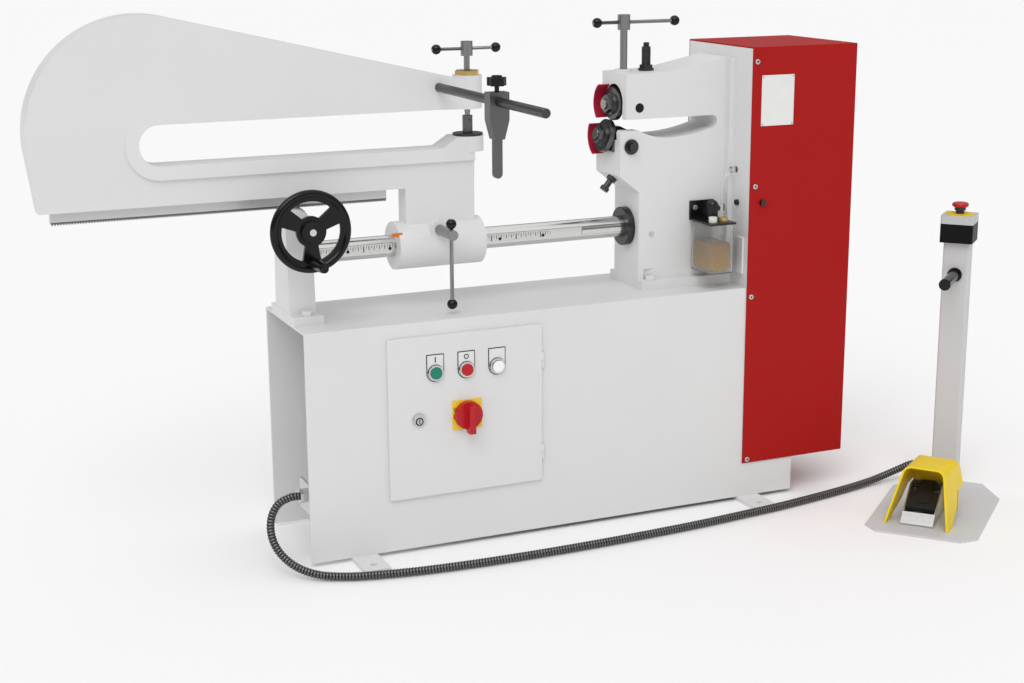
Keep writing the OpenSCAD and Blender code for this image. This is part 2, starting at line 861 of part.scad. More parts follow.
fine = 6;
fine_points = [for (i = [0 : fine * (len(conduit_route) - 1)]) route_point(conduit_route, i / fine)];
function running(p, i = 0, sum = 0) = i >= len(p) - 1 ? [sum]
    : concat([sum], running(p, i + 1, sum + norm(p[i + 1] - p[i])));
fine_lengths = running(fine_points);
conduit_length = fine_lengths[len(fine_lengths) - 1];

// Point a given length along the fine curve
function along(s) = let (
    k = min(len([for (v = fine_lengths) if (v <= s) v]) - 1, len(fine_points) - 2),
    t = (s - fine_lengths[k]) / (fine_lengths[k + 1] - fine_lengths[k]))
    fine_points[k] + (fine_points[k + 1] - fine_points[k]) * t;

function heading(s) = let (
    d = s < 1 ? conduit_route[1] - conduit_route[0]
        : s > conduit_length - 1 ? conduit_route[len(conduit_route) - 1] - conduit_route[len(conduit_route) - 2]
        : along(min(s + 2, conduit_length)) - along(max(s - 2, 0)))
    d / norm(d);

function ring(s, r) = let (
    c = along(s),
    f = heading(s),
    side = cross(f, [0, 0, 1]),
    u = norm(side) < 0.1 ? [0, 1, 0] : side / norm(side),
    v = cross(u, f))
    [for (k = [0 : 7]) c + r * (cos(45 * k) * u + sin(45 * k) * v)];

rib_pitch = conduit_length / conduit_ribs;
rib_depth = 0.8;

function outer_rings() = [for (i = [0 : 2 * conduit_ribs])
    ring(i * rib_pitch / 2, i % 2 == 1 ? conduit_r : conduit_r - rib_depth)];
function bore_rings() = [for (i = [0 : conduit_ribs]) ring(i * rib_pitch, conduit_bore / 2)];

function skin(n, first, flip) = [for (i = [0 : n - 2], k = [0 : 7]) let (
    a = first + 8 * i + k,
    b = first + 8 * i + (k + 1) % 8,
    tri = [[a, b, b + 8], [a, b + 8, a + 8]])
    for (f = tri) flip ? [f[2], f[1], f[0]] : f];

function end_faces(a, b, flip) = [for (k = [0 : 7]) let (
    q = (k + 1) % 8,
    tri = [[a + k, b + k, b + q], [a + k, b + q, a + q]])
    for (f = tri) flip ? [f[2], f[1], f[0]] : f];

self_gap = min([for (i = [0 : 3 : len(fine_points) - 1], j = [i + 12 : 3 : len(fine_points) - 1])
    norm(fine_points[i] - fine_points[j])]) - conduit_diameter;

module conduit() {
    outer = outer_rings();
    bore = bore_rings();
    first = 8 * len(outer);
    color("dimgray")
    polyhedron(
        points = concat([for (r = outer) for (p = r) p], [for (r = bore) for (p = r) p]),
        faces = concat(
            skin(len(outer), 0, false),
            skin(len(bore), first, true),
            end_faces(0, first, false),
            end_faces(8 * (len(outer) - 1), first + 8 * (len(bore) - 1), true)));
    echo(conduit_length = conduit_length, least_gap_to_itself = self_gap);
}

module pedestal() {
    color("darkgray")
    at_pedestal() {
        linear_extrude(ped_plate)
            polygon([
                [27 - ped_half_u, -ped_half_v],
                [ped_half_u - 27, -ped_half_v],
                [ped_half_u, 27 - ped_half_v],
                [ped_half_u, ped_half_v - 79],
                [ped_half_u - 46, ped_half_v],
                [46 - ped_half_u, ped_half_v],
                [-ped_half_u, ped_half_v - 79],
                [-ped_half_u, 27 - ped_half_v]
            ]);
        difference() {
            translate([post_u, post_v, ped_plate - 1])
                linear_extrude(post_height + 1)
                    polygon(round_rect(post_width, post_depth, 4));
            translate([post_u, post_v, ped_plate + 6])
                linear_extrude(post_height - 12)
                    polygon(round_rect(post_width - 6, post_depth - 6, 2));
            translate([post_u, post_v, ped_plate + post_height - 10])
                cylinder(h = 20, r = 9);
        }
    }
}

module stop_box_layer(z0, z1, bore) {
    translate([post_u, post_v, z0])
        difference() {
            linear_extrude(z1 - z0)
                polygon(round_rect(stop_box_side, stop_box_side, 4));
            translate([0, 0, bore > stop_stem_r + 1 ? 3 : -1])
                cylinder(h = z1 - z0 + 2, r = bore);
        }
}

module estop_box() {
    at_pedestal() {
        color("black")
        stop_box_layer(post_top, stop_box_top - lid_height, stop_box_side / 2 - 6);
        color("gray")
        stop_box_layer(stop_box_top - lid_height, stop_box_top, stop_stem_r + run);
        color("gold")
        translate([post_u, post_v, stop_box_top])
            difference() {
                cylinder(h = 1.5, r = stop_box_side / 2 - 4);
                translate([0, 0, -1])
                    cylinder(h = 4, r = stop_stem_r + run);
            }
    }
}

module estop_button() {
    color("red")
    at_pedestal()
        translate([post_u, post_v, 0]) {
            rod_z(stop_box_top - 24, stop_box_top + 12, stop_stem_r, 0, 0);
            translate([0, 0, stop_box_top + 8])
                rotate_extrude()
                    polygon(concat([[0, 0], [11, 0], [11, 5], [16, 8.5]], arc(11.5, 10.5, 4.5, 0, 90, 6), [[0, 16.5]]));
        }
}

grip_r = 10;

module carry_grip() {
    color("black")
    at_pedestal() {
        rod_y(post_v - post_depth / 2 - 5, post_v - post_depth / 2, grip_r + 4, post_u, grip_z);
        rod_y(post_v - post_depth / 2 - grip_length + 8, post_v - post_depth / 2 - 4, grip_r, post_u, grip_z);
        rod_y(post_v - post_depth / 2 - grip_length, post_v - post_depth / 2 - grip_length + 9, grip_r + 1.2,
            post_u, grip_z);
    }
}

guard_top_u = 42;
guard_flare = 12.5;
guard_round = 18;
guard_front_v = -136;
guard_back_v = 8;
guard_lean = 43;
guard_turn = -5;
guard_wall = 4;

// Arch of the guard seen from the front, drawn in u and z
function guard_arch(inset) = let (
    r = guard_round - inset,
    side = guard_top_u - guard_round,
    top = ped_plate + guard_height - guard_round,
    base = ped_plate - (inset > 0 ? 1 : 0),
    foot = side + r * cos(guard_flare) + (top + r * sin(guard_flare) - base) * tan(guard_flare))
    concat(
        [[foot, base]],
        arc(side, top, r, guard_flare, 90, 8),
        arc(-side, top, r, 90, 180 - guard_flare, 8),
        [[-foot, base]]);

// Side view of the guard, drawn in v and z, with its front pushed out by reach
function guard_side(inset, reach) = let (
    r = 24 - inset,
    top = ped_plate + guard_height - inset,
    base = ped_plate - (inset > 0 ? 1 : 0))
    concat(
        [[guard_back_v - inset, base]],
        arc(guard_back_v - 28, top - r, r, 0, 90, 8),
        [[guard_front_v + guard_lean - reach, top], [guard_front_v - reach, base]]);

module guard_shape(inset, reach) {
    intersection() {
        slab_y(guard_front_v - reach - 1, guard_back_v + 1)
            polygon(guard_arch(inset));
        slab_x(-100, 100)
            polygon(guard_side(inset, reach));
    }
}

module at_guard() {
    at_pedestal()
        translate([pedal_u, guard_front_v, 0])
            rotate([0, 0, guard_turn])
                translate([0, -guard_front_v, 0])
                    children();
}

module pedal_guard() {
    color("gold")
    at_guard()
        difference() {
            guard_shape(0, 0);
            guard_shape(guard_wall, 40);
            slab_x(-100, 100)
                polygon([
                    [guard_front_v + 34, 0],
                    [guard_front_v + 38, ped_plate + 4],
                    [guard_front_v + 78, ped_plate + 26],
                    [guard_front_v + 100, ped_plate + 52],
                    [guard_back_v - 10, ped_plate + 52],
                    [guard_back_v - 10, 0]
                ]);
            for (side = [-1, 1])
                block(side * 72 - 30, side * 72 + 30, guard_back_v - 11, guard_back_v + 1, 0, ped_plate + 52);
        }
}

treadle_half_u = 15;
treadle_pad_u = 27;
treadle_length = 70;
pedal_half_u = treadle_pad_u + 4;
cheek = 3;
pedal_front_v = -128;
treadle_pin_r = 4;

pedal_back_v = -5;

module pedal_base() {
    at_pedestal()
        translate([pedal_u, 0, 0]) {
            color("silver")
            block(-pedal_half_u, pedal_half_u, pedal_front_v, pedal_back_v, ped_plate, ped_plate + 3);
            color("silver")
            slab_x(-pedal_half_u, pedal_half_u)
                polygon([
                    [pedal_front_v, ped_plate + 2],
                    [pedal_front_v, ped_plate + 4],
                    [pedal_front_v + 20, ped_plate + 21],
                    [pedal_front_v + 23, ped_plate + 19],
                    [pedal_front_v + 4, ped_plate + 2]
                ]);
            color("silver")
            for (side = [-1, 1])
                difference() {
                    slab_x(side * (pedal_half_u - cheek / 2) - cheek / 2, side * (pedal_half_u - cheek / 2) + cheek / 2)
                        polygon([
                            [pedal_front_v + 1, ped_plate + 2],
                            [pedal_front_v + 20, ped_plate + 20],
                            [pedal_front_v + 42, ped_plate + 33],
                            [treadle_v - 12, treadle_z + 7],
                            [pedal_back_v, treadle_z + 7],
                            [pedal_back_v, ped_plate + 2]
                        ]);
                    rod_x(side * pedal_half_u - 5, side * pedal_half_u + 5, treadle_pin_r + run, treadle_v, treadle_z);
                }
            color("dimgray")
            block(-treadle_pad_u, treadle_pad_u, treadle_v + 20, pedal_back_v, ped_plate + 2, treadle_z + 5);
        }
}

module treadle() {
    color("black")
    at_pedestal()
        translate([pedal_u, treadle_v, treadle_z]) {
            rod_x(-pedal_half_u + 0.5, pedal_half_u - 0.5, treadle_pin_r, 0, 0);
            rotate([treadle_slope, 0, 0]) {
                block(-treadle_half_u, treadle_half_u, -24, 14, -5, 5);
                block(-treadle_pad_u, treadle_pad_u, -treadle_length, -22, -4, 5);
                block(-8, 14, -treadle_length + 14, -26, 4, 8);
            }
        }
}

arm_shoulder = nose_cap - 10;
rim = 24;
neck_left = clamp_x - 130;
neck_right = clamp_x + 4;
boss_left = clamp_x - 150;
boss_right = clamp_x + 18;

function arm_outline() = let (
    slot_r = slot_height / 2,
    reach = [clamp_x - arm_x, arm_shoulder - arm_z],
    top_angle = atan2(reach[1], reach[0]) + acos(arm_radius / norm(reach)))
    concat(
        [[arm_x - arm_radius + 14, arm_base]],
        arc(arm_x, arm_z, arm_radius, 188, top_angle, 40),
        [[clamp_x, arm_shoulder],
        [clamp_x, nose_bottom]],
        [[clamp_x - 60, slot_z + slot_r]],
        arc(slot_end_x, slot_z, slot_r, 90, 270, 24),
        [[clamp_x - 60, slot_z - slot_r],
        [clamp_x - 30, anvil_boss_top],
        [clamp_x, anvil_boss_top],
        [neck_right, anvil_boss_top - 40],
        [neck_right, arm_base],
        [neck_left, arm_base]]);

// Outline of the raised rim below and left of the slot
function rim_outline() = let (r = slot_height / 2 + rim) concat(
    arc(slot_end_x, slot_z, r, 90, 270, 24),
    [[clamp_x + 40, slot_z - r], [clamp_x + 40, slot_z + r + 200], [slot_end_x, slot_z + r + 200]]);

fade_z = slot_z + 40;
fade_depth = (arm_thickness - arm_web) / 2;

// Sloping recess of one side face, deepest along the arm's lower edge
module side_recess(face, inward) {
    difference() {
        slab_x(arm_x - arm_radius - 20, clamp_x + 60)
            polygon([
                [face, fade_z],
                [face + inward * fade_depth, arm_base - 1],
                [face - inward * 20, arm_base - 1],
                [face - inward * 20, fade_z]
            ]);
        slab_y(line_y - 100, line_y + 100)
            polygon(rim_outline());
    }
}

module carriage_arm() {
    color("gainsboro")
    difference() {
        union() {
            difference() {
                slab_y(arm_front, arm_back)
                    polygon(arm_outline());
                side_recess(arm_front, 1);
                side_recess(arm_back, -1);
            }
            rod_z(nose_bottom, nose_cap, nose_r, clamp_x, line_y);
            rod_z(anvil_boss_top - 28, anvil_boss_top, anvil_r + 1, clamp_x, line_y);
            slab_y(line_y - arm_web / 2, line_y + arm_web / 2)
                polygon([
                    [neck_left, bar_z],
                    [neck_right, bar_z],
                    [neck_right, arm_base + 10],
                    [neck_left, arm_base + 10]
                ]);
            rod_x(boss_left, boss_right, boss_radius, line_y, bar_z);
            rod_y(lock_pad_front, line_y, 17.5, lock_x, lock_z);
        }
        rod_x(boss_left - 1, boss_right + 1, bar_r + run, line_y, bar_z);
        rod_z(nose_bottom - 1, nose_cap + 1, 14 + fit, clamp_x, line_y);
        rod_z(anvil_boss_top - 36, anvil_boss_top + 1, 8 + run, clamp_x, line_y);
        rod_y(arm_front - 1, arm_front + stop_rod_socket, stop_rod_r + fit, stop_rod_x, stop_rod_z);
        rod_y(lock_pad_front - 1, line_y + 14, lock_r + run, lock_x, lock_z);
    }
}

// Rack tooth gap centred under the pinion's top tooth at rest
rack_left = post_x - pitch * 89;

function rack_outline() = let (
    top = arm_base,
    pitch_z = rack_pitch_z,
    tip = pitch_z - rack_module,
    root = pitch_z + 1.25 * rack_module,
    wide = pitch / 4 + 1.25 * rack_module * tan(20) - 0.03,
    slim = pitch / 4 - rack_module * tan(20) - 0.03)
    concat(
        [[rack_left, top], [rack_left, root]],
        [for (i = [0 : rack_teeth - 1]) let (x = rack_left + pitch * (i + 0.5))
            for (q = [[x - wide, root], [x - slim, tip], [x + slim, tip], [x + wide, root]]) q],
        [[rack_left + pitch * rack_teeth, root], [rack_left + pitch * rack_teeth, top]]);

module rack() {
    color("dimgray")
    slab_y(line_y - rack_width / 2, line_y + rack_width / 2)
        polygon(rack_outline());
}

module clamp_nut() {
    color("goldenrod")
    difference() {
        union() {
            rod_z(nose_bottom + 28, nose_cap + 1, 14, clamp_x, line_y);
            hex_z(nose_cap, nose_cap + 8, 41, clamp_x, line_y);
        }
        rod_z(nose_bottom, nose_cap + 13, clamp_r + run, clamp_x, line_y);
    }
}

module stop_rod() {
    color("dimgray")
    rod_y(arm_front - stop_rod_length, arm_front + stop_rod_socket, stop_rod_r, stop_rod_x, stop_rod_z);
}

screw_neck_r = clamp_r - 0.7;
screw_neck_top = pad_base + pad_height + 6;

module clamp_screw() {
    color("silver") {
        rod_z(pad_base + 18, screw_neck_top + 1, screw_neck_r, clamp_x, line_y);
        rod_z(screw_neck_top, clamp_hub_z - 12, clamp_r, clamp_x, line_y);
    }
    color("silver")
    difference() {
        rod_z(clamp_hub_z - 13, clamp_hub_z + 13, 11, clamp_x, line_y);
        rod_x(clamp_x - 20, clamp_x + 20, 3 + run, line_y, clamp_hub_z);
    }
}

module clamp_bar() {
    color("silver")
    t_bar(clamp_x - 59, clamp_x + 57, 9, 3, line_y, clamp_hub_z);
}

module clamp_pad() {
    color("silver")
    difference() {
        rod_z(pad_base, pad_base + pad_height, pad_r, clamp_x, line_y);
        rod_z(pad_base + 17.5, pad_base + pad_height + 1, screw_neck_r + run, clamp_x, line_y);
        rod_y(line_y - pad_r - 1, line_y - pad_r + 3, 2, clamp_x, pad_base + 24);
    }
}

module anvil() {
    color("black") {
        rod_z(anvil_top - anvil_thick, anvil_top, anvil_r, clamp_x, line_y);
        rod_z(anvil_boss_top - 34, anvil_top - 1, 8, clamp_x, line_y);
    }
}

module stop_block() {
    color("dimgray")
    difference() {
        union() {
            slab_y(stop_y - stop_half_y, stop_y + stop_half_y)
                polygon([
                    [stop_rod_x - stop_half_x, stop_top],
                    [stop_rod_x + stop_half_x, stop_top],
                    [stop_rod_x + stop_half_x, stop_taper_z],
                    [stop_rod_x + finger_half, finger_top],
                    [stop_rod_x - finger_half, finger_top],
                    [stop_rod_x - stop_half_x, stop_taper_z]
                ]);
            slab_y(stop_y - 4, stop_y + 4)
                polygon(concat(
                    [[stop_rod_x + finger_half - 1, finger_top + 6], [stop_rod_x - finger_half + 1, finger_top + 6]],
                    arc(stop_rod_x, finger_tip + finger_half - 1, finger_half - 1, 180, 360, 12)));
        }
        rod_y(stop_y - 30, stop_y + 30, stop_rod_r + run, stop_rod_x, stop_rod_z);
        rod_z(stop_rod_z + stop_rod_r, stop_top + 1, 4 + run, stop_rod_x, stop_y);
    }
}

module stop_knob() {
    color("silver")
    rod_z(stop_rod_z + stop_rod_r + air, stop_top + 11, 4, stop_rod_x, stop_y);
    color("black")
    translate([stop_rod_x, stop_y, stop_top + 10]) {
        linear_extrude(14)
            polygon([for (i = [0 : 71]) let (a = 5 * i, r = 14.5 + 2.5 * cos(5 * a)) [r * cos(a), r * sin(a)]]);
        translate([0, 0, 13])
            cylinder(h = 4, r = 9);
    }
}

module lock_screw() {
    color("silver")
    difference() {
        union() {
            rod_y(lock_pad_front - lock_hub_length, lock_pad_front - air, lock_hub_r, lock_x, lock_z);
            rod_y(lock_pad_front - 1, line_y + 12, lock_r, lock_x, lock_z);
        }
        rod_z(lock_z - 20, lock_z + 20, t_bar_r + run, lock_x, lock_bar_y);
    }
}

lock_bar_low = bar_z - 97;
lock_bar_high = lock_z + lock_hub_r + t_ball_r + air;

module lock_bar() {
    color("silver") {
        rod_z(lock_bar_low, lock_bar_high, t_bar_r, lock_x, lock_bar_y);
        for (z = [lock_bar_low, lock_bar_high])
            translate([lock_x, lock_bar_y, z])
                sphere(r = t_ball_r);
    }
}

wheel_window = [27, 53];
crank_pin_r = 4;

module handwheel() {
    color("black")
    difference() {
        union() {
            translate([post_x, wheel_y, pinion_z])
                rotate([90, 0, 0])
                    rotate_extrude()
                        translate([wheel_r - 7, 0])
                            circle(r = 7);
            rod_y(wheel_y - 4, wheel_y + 4, wheel_r - 6, post_x, pinion_z);
            rod_y(wheel_y - 12, wheel_y + 22, 19, post_x, pinion_z);
        }
        for (a = [90, 210, 330])
            slab_y(wheel_y - 20, wheel_y + 20)
                translate([post_x, pinion_z])
                    polygon(concat(
                        arc(0, 0, wheel_window[0], a - 34, a + 34, 12),
                        arc(0, 0, wheel_window[1], a + 42, a - 42, 16)));
        rod_y(wheel_y - 40, wheel_y + 40, shaft_r - 3 + fit, post_x, pinion_z);
    }
    color("silver") {
        rod_y(wheel_y - 71, wheel_y, crank_pin_r, post_x, pinion_z - crank_r);
        rod_y(wheel_y - 74, wheel_y - 70, 7, post_x, pinion_z - crank_r);
    }
}

module pinion_shaft() {
    color("silver") {
        rod_y(wheel_y - 14, wheel_y + 24, shaft_r - 3, post_x, pinion_z);
        rod_y(wheel_y + 22, line_y + 52, shaft_r, post_x, pinion_z);
        slab_y(line_y - rack_width / 2, line_y + rack_width / 2)
            translate([post_x, pinion_z])
                rotate(90)
                    polygon(gear_points(rack_module, pinion_teeth, 0.1));
    }
}

module crank_grip() {
    color("black")
    translate([post_x, wheel_y, pinion_z - crank_r])
        rotate([90, 0, 0])
            rotate_extrude()
                polygon([
                    [crank_pin_r + run, 7.5],
                    [8, 7.5],
                    [9.5, 20],
                    [9.5, 55],
                    [8, 69.5],
                    [crank_pin_r + run, 69.5]
                ]);
}

module upper_bearings() {
    color("darkgray") {
        difference() {
            block(cut_x + 16, column_x + 41, line_y - block_half + air, line_y + block_half - air,
                block_base, block_top);
            rod_x(cut_x, column_x + 60, spindle_r + run, line_y, spindle_z);
        }
        difference() {
            intersection() {
                translate([swivel_x, line_y, spindle_z])
                    sphere(r = swivel_r);
                block(swivel_x - 9, swivel_x + 9, line_y - 50, line_y + 50, spindle_z - 50, spindle_z + 50);
            }
            rod_x(swivel_x - 20, swivel_x + 20, spindle_r + run, line_y, spindle_z);
        }
    }
}

module upper_spindle() {
    color("silver") {
        rod_x(cut_x - 18, cut_x + cutter_width + 1, neck_r, line_y, spindle_z);
        rod_x(cut_x + cutter_width, cut_x + 15.5, spindle_r + 3.5, line_y, spindle_z);
        rod_x(cut_x + 15, bracket_x + bracket_thick + 5, spindle_r, line_y, spindle_z);
    }
}

module upper_gear() {
    color("gray")
    difference() {
        gear_along_x(gear_x, gear_x + gear_width, drive_module, spindle_teeth, line_y, spindle_z, -90);
        rod_x(gear_x - 1, gear_x + gear_width + 1, spindle_r + fit, line_y, spindle_z);
    }
}

// Cutter disc with washer and nut, right face at x = 0, bored for its spindle's neck
module cutter_set() {
    difference() {
        union() {
            rod_x(-cutter_width, 0, cutter_r, 0, 0);
            rod_x(-cutter_width - 4, -cutter_width + 1, washer_r, 0, 0);
            hex_x(-cutter_width - 14, -cutter_width - 3, 30, 0, 0);
        }
        rod_x(-60, 1, neck_r + fit, 0, 0);
    }
}

module upper_cutter() {
    color("silver")
    translate([cut_x + cutter_width, line_y, spindle_z])
        cutter_set();
}

module lower_spindle() {
    color("silver")
    at_lower() {
        rod_x(-cutter_width - 17, lower_block_length + 2.5, neck_r, 0, 0);
        rod_x(0, 2.7, neck_r + 4, 0, 0);
    }
}

module lower_cutter() {
    color("silver")
    at_lower()
        cutter_set();
}

module drive_shaft() {
    color("silver")
    rod_x(gear_x - 15, gearbox_x + gearbox_length, spindle_r, line_y, drive_z);
}

module drive_gear() {
    color("gray")
    difference() {
        gear_along_x(gear_x, gear_x + gear_width, drive_module, drive_teeth, line_y, drive_z, 90 + 180 / drive_teeth);
        rod_x(gear_x - 1, gear_x + gear_width + 1, spindle_r + fit, line_y, drive_z);
    }
}

module feed_pad() {
    color("silver")
    difference() {
        rod_z(block_top + air, block_top + 4.3, 9, feed_x, line_y);
        rod_z(block_top + 0.7, block_top + 6, 4 + run, feed_x, line_y);
    }
}

module feed_screw() {
    color("silver") {
        rod_z(block_top + 0.9, block_top + 5, 4, feed_x, line_y);
        rod_z(block_top + 4.5, feed_hub_z - 12, feed_r, feed_x, line_y);
    }
    color("silver")
    difference() {
        rod_z(feed_hub_z - 14, feed_hub_z + 14, 12, feed_x, line_y);
        rod_x(feed_x - 20, feed_x + 20, t_bar_r + run, line_y, feed_hub_z);
    }
}

module feed_bar() {
    color("silver")
    t_bar(feed_x - 56, feed_x + 108, t_ball_r, t_bar_r, line_y, feed_hub_z);
}

button_places = [-1, 0];
switch_r = 8;

module control_door() {
    color("whitesmoke")
    difference() {
        union() {
            slab_y(door_front, door_back)
                translate([(door_x0 + door_x1) / 2, (door_z0 + door_z1) / 2])
                    polygon(round_rect(door_width, door_height, 4));
            for (z = hinge_places) {
                rod_z(z + 0.2, z + hinge_half, hinge_r, hinge_x, hinge_y);
                block(door_x1 - 1, hinge_x, hinge_y - hinge_r, hinge_y, z + 0.2, z + hinge_half);
            }
        }
        for (z = hinge_places)
            rod_z(z - 20, z + 20, hinge_pin_r + run, hinge_x, hinge_y);
        for (i = [-1, 0, 1])
            rod_y(door_front - 1, door_back + 1, button_r + run, device_x + device_pitch * i, device_z);
        rod_y(door_front - 1, door_back + 1, switch_r + run, device_x, switch_z);
        rod_y(door_front - 1, door_back + 1, 9 + run, lock_cam_x, switch_z);
    }
}

bezel_r = button_r + 3.5;
bezel_depth = 6;
contact_depth = 40;

module door_devices() {
    color("silver")
    for (i = [-1, 0, 1])
        difference() {
            rod_y(door_front - bezel_depth, door_front, bezel_r, device_x + device_pitch * i, device_z);
            rod_y(door_front - bezel_depth - 1, door_front + 1, button_r + run, device_x + device_pitch * i, device_z);
        }
    color("dimgray")
    for (i = [-1, 0])
        difference() {
            block(device_x + device_pitch * i - 15, device_x + device_pitch * i + 15, door_back,
                door_back + contact_depth, device_z - 21, device_z + 21);
            rod_y(door_back - 1, door_back + 20, button_r + 1, device_x + device_pitch * i, device_z);
        }
    color("white")
    rod_y(door_front - bezel_depth - 3, door_back + contact_depth, button_r, device_x + device_pitch, device_z);
    color("gold")
    difference() {
        block(device_x - 28.5, device_x + 28.5, door_front - 3, door_front, switch_z - 27.5, switch_z + 27.5);
        rod_y(door_front - 4, door_front + 1, switch_r + run, device_x, switch_z);
    }
    color("dimgray")
    difference() {
        block(device_x - 24, device_x + 24, door_back, door_back + 46, switch_z - 24, switch_z + 24);
        rod_y(door_back - 1, door_back + 16, switch_r + 1, device_x, switch_z);
    }
}

module push_button(i) {
    rod_y(door_front - bezel_depth - 3, door_back + 6, button_r, device_x + device_pitch * i, device_z);
}

module start_button() {
    color("limegreen")
    push_button(-1);
}

module stop_button() {
    color("red")
    push_button(0);
}

cam_length = 45;

module door_lock() {
    color("dimgray") {
        rod_y(door_front - 4, door_back + 5, 9, lock_cam_x, switch_z);
        rod_y(door_front - 4, door_front - air, 12, lock_cam_x, switch_z);
        block(lock_cam_x - 6, lock_cam_x + 6, door_back + 4.7, door_back + 7.7, switch_z - cam_length, switch_z + 8);
    }
}

module switch_handle() {
    color("red") {
        rod_y(door_front - 14, door_front - 3 - air, 26, device_x, switch_z);
        block(device_x - 6, device_x + 6, door_front - 30, door_front - 13, switch_z - 31, switch_z + 20);
        rod_y(door_front - 4, door_back + 12, switch_r, device_x, switch_z);
    }
}

cabinet();
foot_bars();
control_box();
hinge_leaves();
left_post();
slide_bar();
bar_flange();
head_frame();
lower_bearing_block();
base_bolts();
adjusting_screws();
rear_bracket();
gear_motor();
back_panel();
drive_cover();
oil_pump();
oil_bottle();
oil_tube();
cutter_guards();
conduit_glands();
conduit();
pedestal();
estop_box();
carry_grip();
pedal_guard();
pedal_base();
carriage_arm();
rack();
clamp_nut();
stop_rod();
clamp_pad();
clamp_screw();
clamp_bar();
anvil();
stop_block();
stop_knob();
lock_screw();
lock_bar();
handwheel();
pinion_shaft();
crank_grip();
upper_bearings();
upper_spindle();
upper_gear();
upper_cutter();
lower_spindle();
lower_cutter();
drive_shaft();
drive_gear();
feed_pad();
feed_screw();
feed_bar();
control_door();
door_devices();
start_button();
stop_button();
door_lock();
switch_handle();
treadle();
estop_button();
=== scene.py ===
"""Looks of the circular shear: camera, conduit, materials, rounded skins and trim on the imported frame."""

import json
import math

import bpy
from mathutils import Matrix, Vector

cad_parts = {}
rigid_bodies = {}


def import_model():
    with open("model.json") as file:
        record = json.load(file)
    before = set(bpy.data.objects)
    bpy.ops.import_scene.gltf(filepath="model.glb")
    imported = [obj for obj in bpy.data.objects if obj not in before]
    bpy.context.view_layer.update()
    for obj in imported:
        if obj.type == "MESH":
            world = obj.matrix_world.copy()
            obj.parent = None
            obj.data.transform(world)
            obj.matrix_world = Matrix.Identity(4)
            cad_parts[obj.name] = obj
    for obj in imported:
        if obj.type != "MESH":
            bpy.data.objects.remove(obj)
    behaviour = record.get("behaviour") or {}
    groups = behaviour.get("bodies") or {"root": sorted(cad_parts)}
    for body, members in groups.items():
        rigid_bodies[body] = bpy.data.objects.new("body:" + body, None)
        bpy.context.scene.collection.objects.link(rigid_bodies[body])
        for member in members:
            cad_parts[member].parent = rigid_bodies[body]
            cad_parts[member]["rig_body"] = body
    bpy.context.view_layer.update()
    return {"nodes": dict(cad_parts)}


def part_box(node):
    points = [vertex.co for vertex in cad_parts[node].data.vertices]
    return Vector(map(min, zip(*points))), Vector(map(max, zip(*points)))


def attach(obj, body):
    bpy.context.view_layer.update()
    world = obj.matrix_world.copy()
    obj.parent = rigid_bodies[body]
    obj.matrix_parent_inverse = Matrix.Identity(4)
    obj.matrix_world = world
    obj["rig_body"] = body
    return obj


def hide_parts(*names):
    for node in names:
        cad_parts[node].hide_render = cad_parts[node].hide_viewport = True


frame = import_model()
nodes = frame["nodes"]
scene = bpy.context.scene
MM = 0.001


def mm(*values):
    """Millimetres as a vector in metres."""
    return Vector(values) * MM


def lowest(node):
    """The lowest corner of a node's box, in millimetres."""
    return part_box(node)[0] / MM


def highest(node):
    """The highest corner of a node's box, in millimetres."""
    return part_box(node)[1] / MM


def middle_of(node):
    """The centre of a node's box, in millimetres."""
    low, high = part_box(node)
    return (low + high) / 2 / MM


# Camera, fitted to the photograph's box edges
CAMERA_PLACE = (-1340, -2922, 1140)
CAMERA_YAW = 23.72
CAMERA_PITCH = 14.01
CAMERA_ROLL = 0.33
CAMERA_LENS = 60.96
SENSOR_WIDTH = 36


def make_camera():
    data = bpy.data.cameras.new("camera")
    data.lens = CAMERA_LENS
    data.sensor_width = SENSOR_WIDTH
    data.clip_end = 200
    camera = bpy.data.objects.new("camera", data)
    scene.collection.objects.link(camera)
    turn = (Matrix.Rotation(math.radians(-CAMERA_YAW), 4, "Z")
            @ Matrix.Rotation(math.radians(90 - CAMERA_PITCH), 4, "X")
            @ Matrix.Rotation(math.radians(-CAMERA_ROLL), 4, "Z"))
    camera.matrix_world = Matrix.Translation(mm(*CAMERA_PLACE)) @ turn
    scene.camera = camera


# Conduit: the route of the part's source, in metres
CONDUIT_ROUTE = [
    (-0.510, -0.086, 0.127), (-0.526, -0.086, 0.127), (-0.548, -0.088, 0.119), (-0.563, -0.095, 0.102),
    (-0.570, -0.107, 0.080), (-0.568, -0.122, 0.057), (-0.556, -0.140, 0.036), (-0.535, -0.160, 0.020),
    (-0.506, -0.180, 0.011), (-0.471, -0.197, 0.0085), (-0.428, -0.212, 0.0085), (-0.350, -0.227, 0.0085),
    (-0.270, -0.235, 0.0085), (-0.187, -0.239, 0.0085), (-0.086, -0.240, 0.0085), (0.014, -0.238, 0.0085),
    (0.124, -0.233, 0.0085), (0.234, -0.225, 0.0085), (0.330, -0.214, 0.0085), (0.420, -0.203, 0.0085),
    (0.500, -0.189, 0.0085), (0.560, -0.177, 0.0085), (0.620, -0.164, 0.009), (0.664, -0.1545, 0.0105),
    (0.702, -0.1485, 0.015), (0.739, -0.1515, 0.026), (0.758, -0.161, 0.036), (0.771, -0.1725, 0.040),
    (0.7837, -0.1863, 0.040),
]
CONDUIT_DIAMETER = 0.015
CONDUIT_RIB = 0.0056
CONDUIT_RIB_DEPTH = 0.0015
CONDUIT_SIDES = 16
RIB_PROFILE = ((0.0, 0.0), (0.22, 0.75), (0.5, 1.0), (0.78, 0.75))


